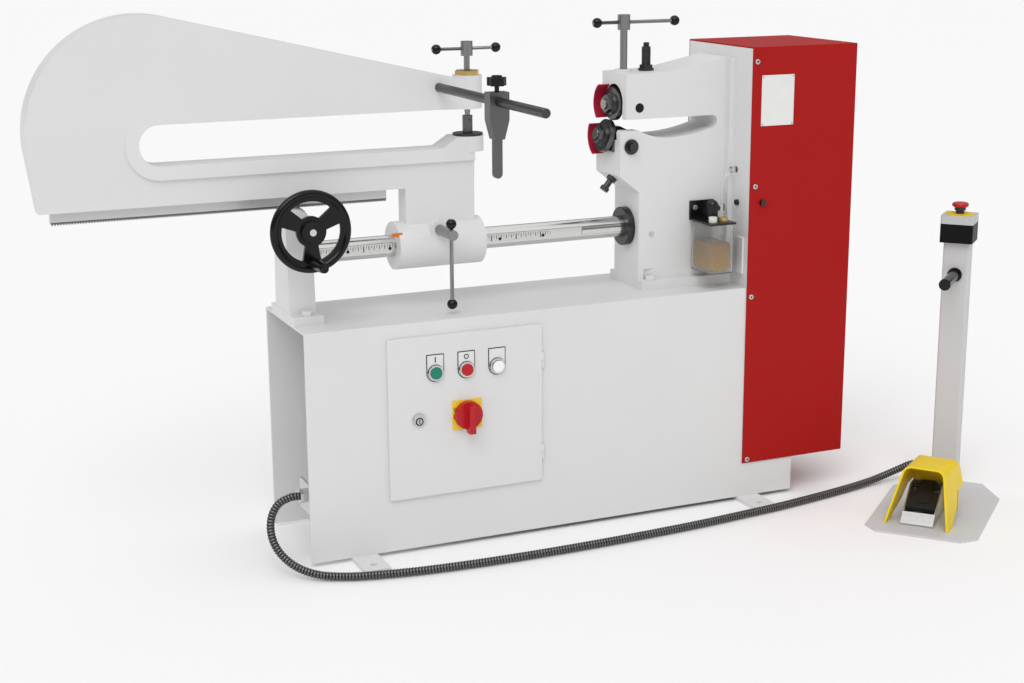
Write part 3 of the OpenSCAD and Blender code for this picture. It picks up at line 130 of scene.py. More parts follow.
def spline_points(route, steps):
    """Points of a smooth curve through the route."""
    points = [Vector(p) for p in route]
    last = len(points) - 1
    made = []
    for i in range(last):
        a, b = points[max(i - 1, 0)], points[i]
        c, d = points[i + 1], points[min(i + 2, last)]
        for k in range(steps):
            t = k / steps
            made.append(0.5 * (2 * b + (c - a) * t + (2 * a - 5 * b + 4 * c - d) * t * t
                               + (3 * b - a - 3 * c + d) * t ** 3))
    return made + [points[last]]


def tube_mesh(name, line, radii, sides):
    """A closed tube round a line of points, one radius for each point."""
    verts, faces = [], []
    side = Vector((0, 1, 0))
    for i, p in enumerate(line):
        ahead = (line[min(i + 1, len(line) - 1)] - line[max(i - 1, 0)]).normalized()
        side = (side - ahead * side.dot(ahead)).normalized()
        up = ahead.cross(side)
        for k in range(sides):
            a = 2 * math.pi * k / sides
            verts.append(p + radii[i] * (math.cos(a) * side + math.sin(a) * up))
    for i in range(len(line) - 1):
        for k in range(sides):
            a, b = i * sides + k, i * sides + (k + 1) % sides
            faces.append((a, b, b + sides, a + sides))
    faces.append(tuple(range(sides))[::-1])
    faces.append(tuple(range((len(line) - 1) * sides, len(line) * sides)))
    mesh = bpy.data.meshes.new(name)
    mesh.from_pydata(verts, [], faces)
    mesh.update()
    return mesh


def make_conduit():
    fine = spline_points(CONDUIT_ROUTE, 24)
    lengths = [0.0]
    for a, b in zip(fine, fine[1:]):
        lengths.append(lengths[-1] + (b - a).length)
    total = lengths[-1]
    ribs = round(total / CONDUIT_RIB)
    line, radii, at = [], [], 0
    root = CONDUIT_DIAMETER / 2 - CONDUIT_RIB_DEPTH
    marks = [(r + share) * total / ribs for r in range(ribs) for share, _ in RIB_PROFILE] + [total]
    heights = [h for _ in range(ribs) for _, h in RIB_PROFILE] + [0.0]
    for print_and_shade, height in zip(marks, heights):
        while at < len(lengths) - 2 and lengths[at + 1] < print_and_shade:
            at += 1
        share = (print_and_shade - lengths[at]) / (lengths[at + 1] - lengths[at])
        line.append(fine[at].lerp(fine[at + 1], share))
        radii.append(root + CONDUIT_RIB_DEPTH * height)
    mesh = tube_mesh("flexible_conduit", line, radii, CONDUIT_SIDES)
    crest = mesh.attributes.new("crest", "FLOAT", "POINT")
    crest.data.foreach_set("value", [h for h in heights for _ in range(CONDUIT_SIDES)])
    piece = bpy.data.objects.new("flexible_conduit", mesh)
    scene.collection.objects.link(piece)
    for face in piece.data.polygons:
        face.use_smooth = True
    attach(piece, "frame")
    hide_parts("conduit")
    return piece


# Shader maths
class Value:
    """A node socket that takes part in sums."""

    def __init__(self, graph, socket):
        self.graph = graph
        self.socket = socket

    def __add__(self, other):
        return self.graph.maths("ADD", self, other)

    def __sub__(self, other):
        return self.graph.maths("SUBTRACT", self, other)

    def __rsub__(self, other):
        return self.graph.maths("SUBTRACT", other, self)

    def __mul__(self, other):
        return self.graph.maths("MULTIPLY", self, other)

    def __truediv__(self, other):
        return self.graph.maths("DIVIDE", self, other)

    def __gt__(self, other):
        return self.graph.maths("GREATER_THAN", self, other)

    def __lt__(self, other):
        return self.graph.maths("LESS_THAN", self, other)

    def __mod__(self, other):
        return self.graph.maths("FLOORED_MODULO", self, other)

    def __abs__(self):
        return self.graph.maths("ABSOLUTE", self, 0)

    __radd__ = __add__
    __rmul__ = __mul__


class Graph:
    """A tree of shader nodes."""

    def __init__(self, tree):
        self.tree = tree

    def node(self, kind, settings=None, inputs=None, out=0):
        made = self.tree.nodes.new("ShaderNode" + kind)
        for key, value in (settings or {}).items():
            setattr(made, key, value)
        for key, value in (inputs or {}).items():
            self.feed(made.inputs[key], value)
        return Value(self, made.outputs[out])

    def feed(self, socket, value):
        if isinstance(value, Value):
            self.tree.links.new(value.socket, socket)
        else:
            socket.default_value = value

    def maths(self, operation, a, b):
        return self.node("Math", {"operation": operation}, {0: a, 1: b})

    def split(self, vector):
        """X, Y and Z of a vector value."""
        made = self.tree.nodes.new("ShaderNodeSeparateXYZ")
        self.tree.links.new(vector.socket, made.inputs[0])
        return [Value(self, made.outputs[i]) for i in range(3)]

    def most(self, a, b):
        return self.maths("MAXIMUM", a, b)

    def place(self):
        """Object coordinates as a vector value."""
        return self.node("TexCoord", out="Object")

    def axes(self):
        """Object coordinates X, Y and Z in millimetres."""
        return [value * (1 / MM) for value in self.split(self.place())]

    def noise(self, scale, detail=2.0, stretch=(1, 1, 1)):
        spread = self.node("Mapping", inputs={"Vector": self.place(), "Scale": stretch})
        return self.node("TexNoise", inputs={"Vector": spread, "Scale": scale, "Detail": detail})

    def mix(self, share, a, b):
        """Colour a where share is 0 and b where it is 1."""
        return self.node("Mix", {"data_type": "RGBA"}, {0: share, 6: a, 7: b}, out=2)


class Surface(Graph):
    """A material with one Principled shader."""

    def __init__(self, name, **constants):
        self.material = bpy.data.materials.new(name)
        self.material.use_nodes = True
        super().__init__(self.material.node_tree)
        self.shader = self.tree.nodes["Principled BSDF"]
        for key, value in constants.items():
            self.shader.inputs[key.replace("_", " ").title().replace("Ior", "IOR")].default_value = value

    def put(self, name, value):
        self.feed(self.shader.inputs[name], value)

    def bump(self, height, strength, distance):
        self.put("Normal", self.node("Bump", inputs={"Height": height, "Strength": strength,
                                                     "Distance": distance}))


def rgb(r, g, b):
    return (r, g, b, 1.0)


def shade(colour, factor):
    return tuple(c * factor for c in colour[:3]) + (1.0,)


# Materials
def paint_relief(g, roughness, peel, lumps):
    """Orange peel and, on castings, slow waves."""
    g.put("Roughness", g.noise(40, 2) * 0.1 + (roughness - 0.05))
    height = g.noise(420, 2)
    if lumps:
        height = height * 0.25 + g.noise(38, 2) * lumps
    g.bump(height, peel, 0.002)


def paint(name, colour, roughness=0.45, peel=0.05, lumps=0.0, shine=0.25):
    """Sprayed paint with slight cloudiness."""
    g = Surface(name, specular_ior_level=shine)
    g.put("Base Color", g.mix(g.noise(6, 3), shade(colour, 0.97), shade(colour, 1.02)))
    paint_relief(g, roughness, peel, lumps)
    return g.material


def steel(name, colour, roughness=0.3, stretch=(1, 1, 1), grain=0.04):
    """Machined steel with grain drawn out along the small stretch axis."""
    g = Surface(name, metallic=1.0)
    grain_noise = g.noise(700, 3, stretch)
    g.put("Base Color", g.mix(grain_noise, shade(colour, 0.88), shade(colour, 1.08)))
    g.put("Roughness", grain_noise * 0.16 + (roughness - 0.08))
    g.bump(grain_noise, grain, 0.0006)
    return g.material


def plastic(name, colour, roughness=0.35, grain=0.03, shine=0.35):
    g = Surface(name, specular_ior_level=shine)
    g.put("Base Color", g.mix(g.noise(30, 2), shade(colour, 0.94), shade(colour, 1.05)))
    g.put("Roughness", g.noise(180, 2) * 0.1 + (roughness - 0.05))
    g.bump(g.noise(900, 2), grain, 0.0008)
    return g.material


WHITE_PAINT = rgb(0.69, 0.69, 0.69)
PANEL_WHITE = rgb(0.71, 0.71, 0.71)
PEDESTAL_GREY = rgb(0.58, 0.58, 0.585)
COVER_RED = rgb(0.37, 0.006, 0.005)
STEEL = rgb(0.52, 0.52, 0.51)
BLACK = rgb(0.004, 0.004, 0.0045)
# Near black, painted shade inside the head's cutter recesses
RECESS_PAINTED_SHADE = rgb(0.010, 0.010, 0.010)
YELLOW = rgb(0.80, 0.56, 0.012)
SIGNAL_RED = rgb(0.46, 0.006, 0.012)
SIGNAL_GREEN = rgb(0.01, 0.20, 0.13)
BRASS = rgb(0.66, 0.46, 0.16)
LENS_WHITE = rgb(0.86, 0.87, 0.88)
OIL_LEVEL = 0.62

# Lines of the head, from the part's source, in millimetres
LINE_Y = 10.0
COLUMN_X = 191.0
UPPER_NOSE_X = 162.0
SPINDLE_Z = 782.0
NOSE_TOP = 840.0
CUTTER_RADIUS = 31.3
LOWER_PLACE = (147.6, 721.07)
LOWER_TILT = math.radians(15)
BLOCK_HALF = 26.0
BLOCK_FLOOR = -26.0
BLOCK_END = 55.0
RECESS_LIFT = 3.0
RECESS_AIR = 3.3
RECESS_SIDE_AIR = 2.3
RECESS_END = COLUMN_X + 45.5
UPPER_RECESS_LOW = 757.0
LOWER_RECESS_HIGH = 750.0
NOSE_LAP = 0.5
BLOCK_LAP = 0.3
STUD_LOW = NOSE_TOP + 13
THREAD_PITCH = 2.2

# Heights, sides and places that part the colours within a node, in millimetres
RACK_TOOTH = 5.4
STOP_CAP = 11
STOP_LID = 16
STOP_DISC = 1.5
TREAD_PITCH = 12.0
DOOR_THICKNESS = 6
SWITCH_PLATE = 56
LAMP_OFFSET = 60
LENS_RADIUS = 10.97
RULE_TOP = 6
PUMP_LID = 4.2
PUMP_CAPS_BACK = 48
PUMP_CAPS_PARTING = 24
PUMP_BOLT = 5.2
PUMP_BOLT_HEIGHT = 24
PUMP_BOLT_INSETS = (8, 12)
PUMP_BOLT_DEPTHS = (9, 4.2)


def head_paint_with_recess_shade():
    """Casting paint, with painted shade: near black inside the two cutter recesses."""
    g = Surface("head_white_with_recess_shade", specular_ior_level=0.25)
    x, y, z = g.axes()
    side = abs(y - LINE_Y)
    rise = z - (SPINDLE_Z + RECESS_LIFT)
    rim = CUTTER_RADIUS + RECESS_AIR
    round_part = (side * side + rise * rise) < rim * rim
    open_part = (side < (CUTTER_RADIUS + RECESS_SIDE_AIR)) * (rise < 0.0)
    upper = g.most(round_part, open_part) * (x > (UPPER_NOSE_X + NOSE_LAP))
    upper = upper * (x < RECESS_END) * (z > UPPER_RECESS_LOW)
    off_x, off_z = x - LOWER_PLACE[0], z - LOWER_PLACE[1]
    along = off_x * math.cos(LOWER_TILT) - off_z * math.sin(LOWER_TILT)
    over = off_x * math.sin(LOWER_TILT) + off_z * math.cos(LOWER_TILT)
    bowl = ((side * side + over * over) < rim * rim) * (along < RECESS_AIR)
    pocket = (side < (BLOCK_HALF + BLOCK_LAP)) * (over > (BLOCK_FLOOR - BLOCK_LAP))
    pocket = pocket * (along < (BLOCK_END + BLOCK_LAP))
    lower = g.most(bowl, pocket) * (z < LOWER_RECESS_HIGH)
    recess_shade = g.most(upper, lower)
    white = g.mix(g.noise(6, 3), shade(WHITE_PAINT, 0.97), shade(WHITE_PAINT, 1.02))
    # Painted shade: the cutter recesses are coloured near black
    g.put("Base Color", g.mix(recess_shade, white, RECESS_PAINTED_SHADE))
    paint_relief(g, 0.45, 0.10, 0.8)
    return g.material


def thread_steel():
    """Blackened screws with turned threads on the upright stud, lighter on the crests and darker in the
    roots as painted highlight and shade.
    """
    g = Surface("black_threads", metallic=1.0)
    _, _, z = g.axes()
    turn = g.maths("SINE", z * (2 * math.pi / THREAD_PITCH), 0) * (z > STUD_LOW)
    # Painted highlight on the thread crests and painted shade in the roots
    g.put("Base Color", g.mix(turn * 0.5 + 0.5, rgb(0.02, 0.02, 0.02), rgb(0.13, 0.13, 0.13)))
    g.put("Roughness", g.noise(300, 2) * 0.12 + 0.32)
    g.bump(turn, 0.7, 0.0012)
    return g.material


def rack_steel():
    """Bright bar with painted shade along its toothed lower edge."""
    g = Surface("rack_steel", metallic=0.45)
    _, _, z = g.axes()
    tooth_gap_shade = z < (lowest("rack").z + RACK_TOOTH)
    # Painted shade: the toothed lower edge is coloured dark
    g.put("Base Color", g.mix(tooth_gap_shade, rgb(0.60, 0.60, 0.59), rgb(0.12, 0.12, 0.12)))
    g.put("Roughness", g.noise(500, 2, (1, 12, 12)) * 0.14 + 0.28)
    return g.material


def stop_button_paint():
    """Red mushroom on a dark collar."""
    g = Surface("stop_mushroom_tones", specular_ior_level=0.4)
    _, _, z = g.axes()
    cap = z > (highest("estop_button").z - STOP_CAP)
    g.put("Base Color", g.mix(cap, rgb(0.012, 0.030, 0.040), SIGNAL_RED))
    g.put("Roughness", g.noise(180, 2) * 0.1 + 0.28)
    return g.material


def tread_steel():
    """Cast pedal base with a diamond tread."""
    g = Surface("pedal_metal", metallic=1.0)
    x, y, _ = g.axes()
    first = abs((x + y) % TREAD_PITCH - TREAD_PITCH / 2)
    second = abs((x - y) % TREAD_PITCH - TREAD_PITCH / 2)
    raised = (first < 1.6) * (second > 3.0)
    grain = g.noise(400, 3)
    g.put("Base Color", g.mix(grain, rgb(0.50, 0.50, 0.49), rgb(0.62, 0.62, 0.61)))
    g.put("Roughness", grain * 0.2 + 0.28)
    g.bump(raised, 0.6, 0.0012)
    return g.material


def ball_bar_paint(name, node, axis, bar_radius):
    """Steel bar whose ends, wider than the bar, are black balls."""
    g = Surface(name, specular_ior_level=0.32)
    middle = middle_of(node)
    places = g.axes()
    across = [places[i] - middle[i] for i in range(3) if i != axis]
    ball = (across[0] * across[0] + across[1] * across[1]) > (bar_radius + 0.4) ** 2
    grain = g.noise(500, 2)
    g.put("Base Color", g.mix(ball, shade(STEEL, 0.62), BLACK))
    g.put("Metallic", 1 - ball)
    g.put("Roughness", 0.3 - ball * 0.12 + grain * 0.06)
    return g.material


def stop_box_paint():
    """Black base, grey lid and yellow disc of the emergency stop box, by height."""
    g = Surface("stop_box_two_tone", specular_ior_level=0.15)
    _, _, z = g.axes()
    top = highest("estop_box").z
    lid = z > (top - STOP_DISC - STOP_LID)
    disc = z > (top - STOP_DISC + 0.1)
    tone = g.mix(lid, BLACK, rgb(0.50, 0.51, 0.51))
    g.put("Base Color", g.mix(disc, tone, YELLOW))
    g.put("Roughness", g.noise(300, 2) * 0.12 + 0.38)
    g.bump(g.noise(800, 2), 0.06, 0.0006)
    return g.material


def device_paint():
    """Bezels, lamp lens, switch plate and contact blocks on the door."""
    g = Surface("door_device_tones", specular_ior_level=0.5)
    x, y, z = g.axes()
    behind = y > (lowest("control_door").y + DOOR_THICKNESS)
    plate = (z < (lowest("door_devices").z + SWITCH_PLATE)) * (1 - behind)
    stop = middle_of("stop_button")
    dx, dz = x - (stop.x + LAMP_OFFSET), z - stop.z
    lens = (dx * dx + dz * dz < LENS_RADIUS ** 2) * (1 - behind)
    tone = g.mix(plate, rgb(0.62, 0.62, 0.62), YELLOW)
    tone = g.mix(lens, tone, LENS_WHITE)
    g.put("Base Color", g.mix(behind, tone, rgb(0.06, 0.06, 0.06)))
    g.put("Metallic", (1 - plate) * (1 - lens) * (1 - behind))
    g.put("Roughness", g.noise(200, 2) * 0.1 + 0.22)
    return g.material


def scale_paint():
    """Engraved rule: a tick at every 5 mm, longer at 10 and longest at 50."""
    g = Surface("scale_strip_ticks", metallic=0.85)
    x, _, z = g.axes()
    depth = middle_of("slide_bar").z + RULE_TOP - z

    def ticks(step, width, reach):
        near = abs((x + step / 2) % step - step / 2)
        return (near < width) * (depth < reach)

    marks = g.most(ticks(5, 0.45, 4), g.most(ticks(10, 0.6, 7), ticks(50, 0.9, 10)))
    g.put("Base Color", g.mix(marks, rgb(0.70, 0.70, 0.69), rgb(0.03, 0.03, 0.03)))
    g.put("Roughness", g.noise(400, 2) * 0.1 + 0.3)
    return g.material


def pump_paint():
    """Black pump lid and cap with one white and one brass filler cap and bright bolts."""
    g = Surface("oil_pump_tones", specular_ior_level=0.5)
    x, y, z = g.axes()
    low, high = lowest("oil_bottle"), highest("oil_bottle")
    back = highest("oil_pump").y
    caps = (z > (high.z + PUMP_LID)) * (y < (high.y - PUMP_CAPS_BACK))
    left = x < (low.x + PUMP_CAPS_PARTING)
    white = caps * left
    brass = caps * (1 - left)
    at_left = abs(x - (low.x + PUMP_BOLT_INSETS[0])) < PUMP_BOLT
    at_right = abs(x - (high.x - PUMP_BOLT_INSETS[1])) < PUMP_BOLT
    bolt = (y < (back - PUMP_BOLT_DEPTHS[1])) * (y > (back - PUMP_BOLT_DEPTHS[0]))
    bolt = bolt * (abs(z - (high.z + PUMP_BOLT_HEIGHT)) < PUMP_BOLT) * g.most(at_left, at_right)
    tone = g.mix(white, BLACK, rgb(0.75, 0.75, 0.72))
    tone = g.mix(brass, tone, BRASS)
    g.put("Base Color", g.mix(bolt, tone, rgb(0.6, 0.6, 0.6)))
    g.put("Metallic", g.most(brass, bolt))
    g.put("Roughness", g.noise(300, 2) * 0.1 + 0.28)
    return g.material


def clear_paint(name, colour, transmission, roughness, ior):
    g = Surface(name, transmission_weight=transmission, ior=ior, roughness=roughness)
    g.put("Base Color", g.mix(g.noise(20, 1), shade(colour, 0.98), colour))
    return g.material


def oil_paint():
    """Amber oil, brown at its level and yellow where it settles."""
    g = Surface("amber_oil", transmission_weight=0.06, ior=1.3, roughness=0.2)
    low, high = lowest("oil_bottle"), highest("oil_bottle")
    _, _, z = g.axes()
    rise = (z - low.z) / ((high.z - low.z) * OIL_LEVEL)
    cloud = g.noise(30, 2) * 0.5 - 0.25
    g.put("Base Color", g.mix(rise + cloud, rgb(0.52, 0.28, 0.008), rgb(0.31, 0.135, 0.018)))
    return g.material


def conduit_paint():
    """Wound strip: painted shade in the grooves and a painted highlight on the crests."""
    g = Surface("conduit_metal", metallic=0.8)
    sheen_and_roughness_noise = g.noise(90, 3)
    crest = g.node("Attribute", {"attribute_name": "crest"}, out="Fac")
    # Painted highlight on the crests and painted shade in the grooves, from the rib height
    bright = crest * crest * (sheen_and_roughness_noise * 0.5 + 0.55)
    g.put("Base Color", g.mix(bright, rgb(0.006, 0.006, 0.006), rgb(0.22, 0.22, 0.215)))
    g.put("Roughness", sheen_and_roughness_noise * 0.2 + 0.24)
    return g.material


def make_materials():
    return {
        "casting_paint": paint("casting_white", WHITE_PAINT, 0.45, 0.10, 0.8),
        "head_paint_with_recess_shade": head_paint_with_recess_shade(),
        "cabinet_paint": paint("cabinet_white", WHITE_PAINT),
        "panel_paint": paint("panel_white", PANEL_WHITE),
        "cover_paint": paint("cover_red", COVER_RED, 0.5, 0.06, shine=0.16),
        "pedestal_paint": paint("pedestal_grey", PEDESTAL_GREY, 0.45, 0.06),
        "guard_paint": plastic("cutter_guard_red", rgb(0.40, 0.012, 0.040), 0.35),
        "motor_paint": paint("motor_grey", rgb(0.16, 0.21, 0.25), 0.45, 0.08, 0.3),
        "bracket_iron": paint("bracket_grey", rgb(0.22, 0.22, 0.22), 0.6, 0.15, 0.8),
        "guard_yellow": plastic("guard_yellow", rgb(0.80, 0.58, 0.010), 0.4, 0.05, 0.3),
        "ground_steel": steel("ground_steel", rgb(0.66, 0.66, 0.65), 0.2, (1, 12, 12)),
        # The cutter discs are steel, coloured dark as painted shade
        "cutter_steel": steel("cutter_steel", rgb(0.15, 0.15, 0.15), 0.3),
        "nut_steel": steel("nut_steel", rgb(0.33, 0.33, 0.325), 0.3),
        "plated_steel": steel("hub_steel", rgb(0.30, 0.30, 0.30), 0.3),
        "dark_steel": steel("dark_steel", rgb(0.17, 0.17, 0.17), 0.4, (12, 1, 12)),
        "rod_steel": steel("rod_steel", rgb(0.10, 0.10, 0.10), 0.36, (1, 12, 12)),
        "fastener_steel": steel("black_fasteners", rgb(0.07, 0.07, 0.07), 0.34),
        "thread_steel": thread_steel(),
        "rack_steel": rack_steel(),
        "gear_steel": steel("gear_steel", rgb(0.42, 0.42, 0.41), 0.34),
        "brass": steel("brass_nut", BRASS, 0.28),
        "pedal_metal": tread_steel(),
        "black_plastic": plastic("black_plastic", BLACK, 0.2, 0.02, 0.28),
        "treadle_black": plastic("treadle_black", rgb(0.016, 0.016, 0.017), 0.5, 0.1),
        "signal_red": plastic("signal_red", SIGNAL_RED, 0.3, 0.02),
        "stop_mushroom": stop_button_paint(),
        "signal_green": plastic("signal_green", SIGNAL_GREEN, 0.3, 0.02),
        "tube_plastic": clear_paint("tube_clear", rgb(0.95, 0.95, 0.94), 0.9, 0.12, 1.25),
        "bottle_clear": clear_paint("bottle_clear", rgb(0.97, 0.97, 0.96), 0.94, 0.08, 1.3),
        "conduit_plastic": conduit_paint(),
        "stop_box_plastic": stop_box_paint(),
        "device_plastic": device_paint(),
        "oil": oil_paint(),
        "scale": scale_paint(),
        "plate": plastic("bare_plate", rgb(0.74, 0.74, 0.735), 0.3, 0.02),
        "legend": plastic("legend_white", rgb(0.72, 0.72, 0.72), 0.35, 0.02),
        # Black for print and small black parts, and painted shade in the screw sockets, nose hole and key
        # slot
        "print_and_shade": plastic("print_and_shade_black", rgb(0.010, 0.010, 0.010), 0.4, 0.02, 0.2),
        "orange": plastic("pointer_orange", rgb(0.62, 0.16, 0.02), 0.35, 0.02),
        "bright": steel("bright_screws", rgb(0.58, 0.58, 0.57), 0.26),
        "pump": pump_paint(),
        "clamp_bar": ball_bar_paint("clamp_bar_tones", "clamp_bar", 0, 3),
        "feed_bar": ball_bar_paint("feed_bar_tones", "feed_bar", 0, 3.5),
        "lock_bar": ball_bar_paint("lock_bar_tones", "lock_bar", 2, 3.5),
    }


# Modelling
def only(*objects):
    bpy.ops.object.select_all(action="DESELECT")
    for o in objects:
        o.select_set(True)
    bpy.context.view_layer.objects.active = objects[0]


def set_material(piece, material):
    piece.data.materials.clear()
    piece.data.materials.append(material)
    return piece


def round_edges(piece, width, segments=2, angle=32):
    """Rounds the sharp edges and keeps the flats flat."""
    only(piece)
    if width:
        bevel = piece.modifiers.new("edges", "BEVEL")
        bevel.width = width * MM
        bevel.segments = segments
        bevel.limit_method = "ANGLE"
        bevel.angle_limit = math.radians(angle)
        bpy.ops.object.shade_smooth()
        bpy.ops.object.modifier_apply(modifier=bevel.name)
        flats = piece.modifiers.new("flats", "WEIGHTED_NORMAL")
        flats.weight = 60
        bpy.ops.object.modifier_apply(modifier=flats.name)
    else:
        bpy.ops.object.shade_smooth_by_angle(angle=math.radians(angle))
    return piece


def skin(node, material, edge=0.6, segments=2, angle=32):
    """A copy of a CAD node with its edges rounded, shown in the node's place."""
    source = nodes[node]
    piece = bpy.data.objects.new(node + "_skin", source.data.copy())
    scene.collection.objects.link(piece)
    only(piece)
    bpy.ops.object.mode_set(mode="EDIT")
    bpy.ops.mesh.select_all(action="SELECT")
    bpy.ops.mesh.remove_doubles(threshold=2e-6)
    bpy.ops.mesh.dissolve_limited(angle_limit=math.radians(0.4))
    bpy.ops.object.mode_set(mode="OBJECT")
    round_edges(piece, edge, segments, angle)
    set_material(piece, material)
    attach(piece, source["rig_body"])
    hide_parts(node)
    return piece


def settle(piece):
    """Puts the piece's place into its mesh."""
    only(piece)
    bpy.ops.object.transform_apply(location=True, rotation=True, scale=True)
    return piece


def slab(name, low, high):
    """A box between two corners in millimetres."""
    centre = (mm(*low) + mm(*high)) / 2
    size = mm(*high) - mm(*low)
    bpy.ops.mesh.primitive_cube_add(size=1, location=centre)
    piece = bpy.context.active_object
    piece.name = name
    piece.scale = size
    return settle(piece)


AXIS_TURN = {"X": (0, math.pi / 2, 0), "Y": (-math.pi / 2, 0, 0), "Z": (0, 0, 0)}


def drum(name, axis, start, length, radius, sides=40):
    """A cylinder from a start point along +X, +Y or +Z, in millimetres."""
    ahead = Vector([1.0 if a == axis else 0.0 for a in "XYZ"])
    centre = mm(*start) + ahead * (length * MM / 2)
    bpy.ops.mesh.primitive_cylinder_add(vertices=sides, radius=radius * MM, depth=length * MM,
                                        location=centre, rotation=AXIS_TURN[axis])
    piece = bpy.context.active_object
    piece.name = name
    return settle(piece)


def joined(name, pieces):
    only(*pieces)
    if len(pieces) > 1:
        bpy.ops.object.join()
    piece = bpy.context.active_object
    piece.name = name
    return piece


def dress(piece, material, body, edge=0.25, segments=2):
    round_edges(piece, edge, segments)
    set_material(piece, material)
    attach(piece, body)
    return piece


# Nodes shown as rounded skins: material key, edge radius in millimetres
SKINS = {
    "cabinet": ("cabinet_paint", 1.6),
    "foot_bars": ("cabinet_paint", 1.0),
    "control_box": ("panel_paint", 0.0),
    "hinge_leaves": ("cabinet_paint", 0.6),
    "left_post": ("casting_paint", 3.0),
    "slide_bar": ("ground_steel", 0.6),
    "bar_flange": ("fastener_steel", 1.2),
    "head_frame": ("head_paint_with_recess_shade", 2.6),
    "lower_bearing_block": ("dark_steel", 0.8),
    "base_bolts": ("cabinet_paint", 0.6),
    "adjusting_screws": ("thread_steel", 0.6),
    "back_panel": ("panel_paint", 0.8),
    "drive_cover": ("cover_paint", 1.2),
    "oil_pump": ("pump", 0.8),
    "oil_bottle": ("bottle_clear", 0.5),
    "oil_tube": ("tube_plastic", 0.3),
    "cutter_guards": ("guard_paint", 0.6),
    "conduit_glands": ("bright", 0.6),
    "pedestal": ("pedestal_paint", 1.2),
    "estop_box": ("stop_box_plastic", 0.8),
    "carry_grip": ("black_plastic", 1.6),
    "pedal_guard": ("guard_yellow", 2.0),
    "pedal_base": ("pedal_metal", 0.8),
    "carriage_arm": ("casting_paint", 3.2),
    "rack": ("rack_steel", 0.0),
    "clamp_nut": ("brass", 0.8),
    "stop_rod": ("rod_steel", 1.0),
    "clamp_pad": ("dark_steel", 0.6),
    "clamp_screw": ("plated_steel", 0.8),
    "clamp_bar": ("clamp_bar", 0.0),
    "anvil": ("fastener_steel", 0.8),
    "stop_block": ("dark_steel", 1.2),
    "stop_knob": ("black_plastic", 1.2),
    "lock_screw": ("plated_steel", 0.8),
    "lock_bar": ("lock_bar", 0.0),
    "handwheel": ("black_plastic", 1.2),
    "pinion_shaft": ("ground_steel", 0.0),
    "crank_grip": ("black_plastic", 0.8),
    "upper_bearings": ("nut_steel", 0.8),
    "upper_spindle": ("nut_steel", 0.6),
    "upper_gear": ("gear_steel", 0.0),
    "upper_cutter": ("cutter_steel", 0.6),
    "lower_spindle": ("nut_steel", 0.6),
    "lower_cutter": ("cutter_steel", 0.6),
    "drive_shaft": ("ground_steel", 0.6),
    "drive_gear": ("gear_steel", 0.0),
    "feed_pad": ("plated_steel", 0.3),
    "feed_screw": ("plated_steel", 0.8),
    "feed_bar": ("feed_bar", 0.0),
    "control_door": ("cabinet_paint", 2.2),
    "door_devices": ("device_plastic", 0.6),
    "start_button": ("signal_green", 1.2),
    "stop_button": ("signal_red", 1.2),
    "door_lock": ("bright", 0.8),
    "switch_handle": ("signal_red", 1.6),
    "treadle": ("treadle_black", 1.4),
    "estop_button": ("stop_mushroom", 0.35),
    "rear_bracket": ("bracket_iron", 1.5),
    "gear_motor": ("motor_paint", 1.5),
}


def make_skins(materials):
    for node, (key, edge) in SKINS.items():
        skin(node, materials[key], edge)


# Trim
SCREW_RADIUS = 5.3
SCREW_HEIGHT = 2.6
SOCKET_RADIUS = 2.0
SOCKET_HEIGHT = 0.3
COVER_SCREW_DROPS = (27, 262, 476)
COVER_FRONT_INSETS = (9, 11, 9)
COVER_FRONT_LOW = (10, 8)
COVER_EDGE = 14
COVER_LOW_ROW = 27
CAP_SCREW_PLACE = (28, 294)
CAP_SCREW_HEIGHT = 7
DATA_PLATE_SIDES = (20, 91)
DATA_PLATE_DROPS = (148, 53)
DATA_PLATE_THICK = 0.8
RIVET_INSET = 3


def make_screws(head_name, socket_shade_name, materials, axis, outward, places):
    """Domed screws with hexagon sockets on a face looking along an axis, or against it if outward is -1;
    each socket is a thin black disc of painted shade.
    """
    along = "XYZ".index(axis)

    def row(name, start, length, radius, sides):
        made = []
        for place in places:
            at = list(place)
            at[along] += start
            made.append(drum(name, axis, at, length, radius, sides))
        return made

    heads = row("screw_head", min(outward, 0) * SCREW_HEIGHT, SCREW_HEIGHT, SCREW_RADIUS, 28)
    dress(joined(head_name, heads), materials["bright"], "frame", 1.2, 3)
    # The sockets are thin black discs: painted shade in the hexagon recesses
    floor = outward * SCREW_HEIGHT - SOCKET_HEIGHT / 2
    socket_shades = row("screw_socket_shade", floor, SOCKET_HEIGHT, SOCKET_RADIUS, 6)
    dress(joined(socket_shade_name, socket_shades), materials["print_and_shade"], "frame", 0)


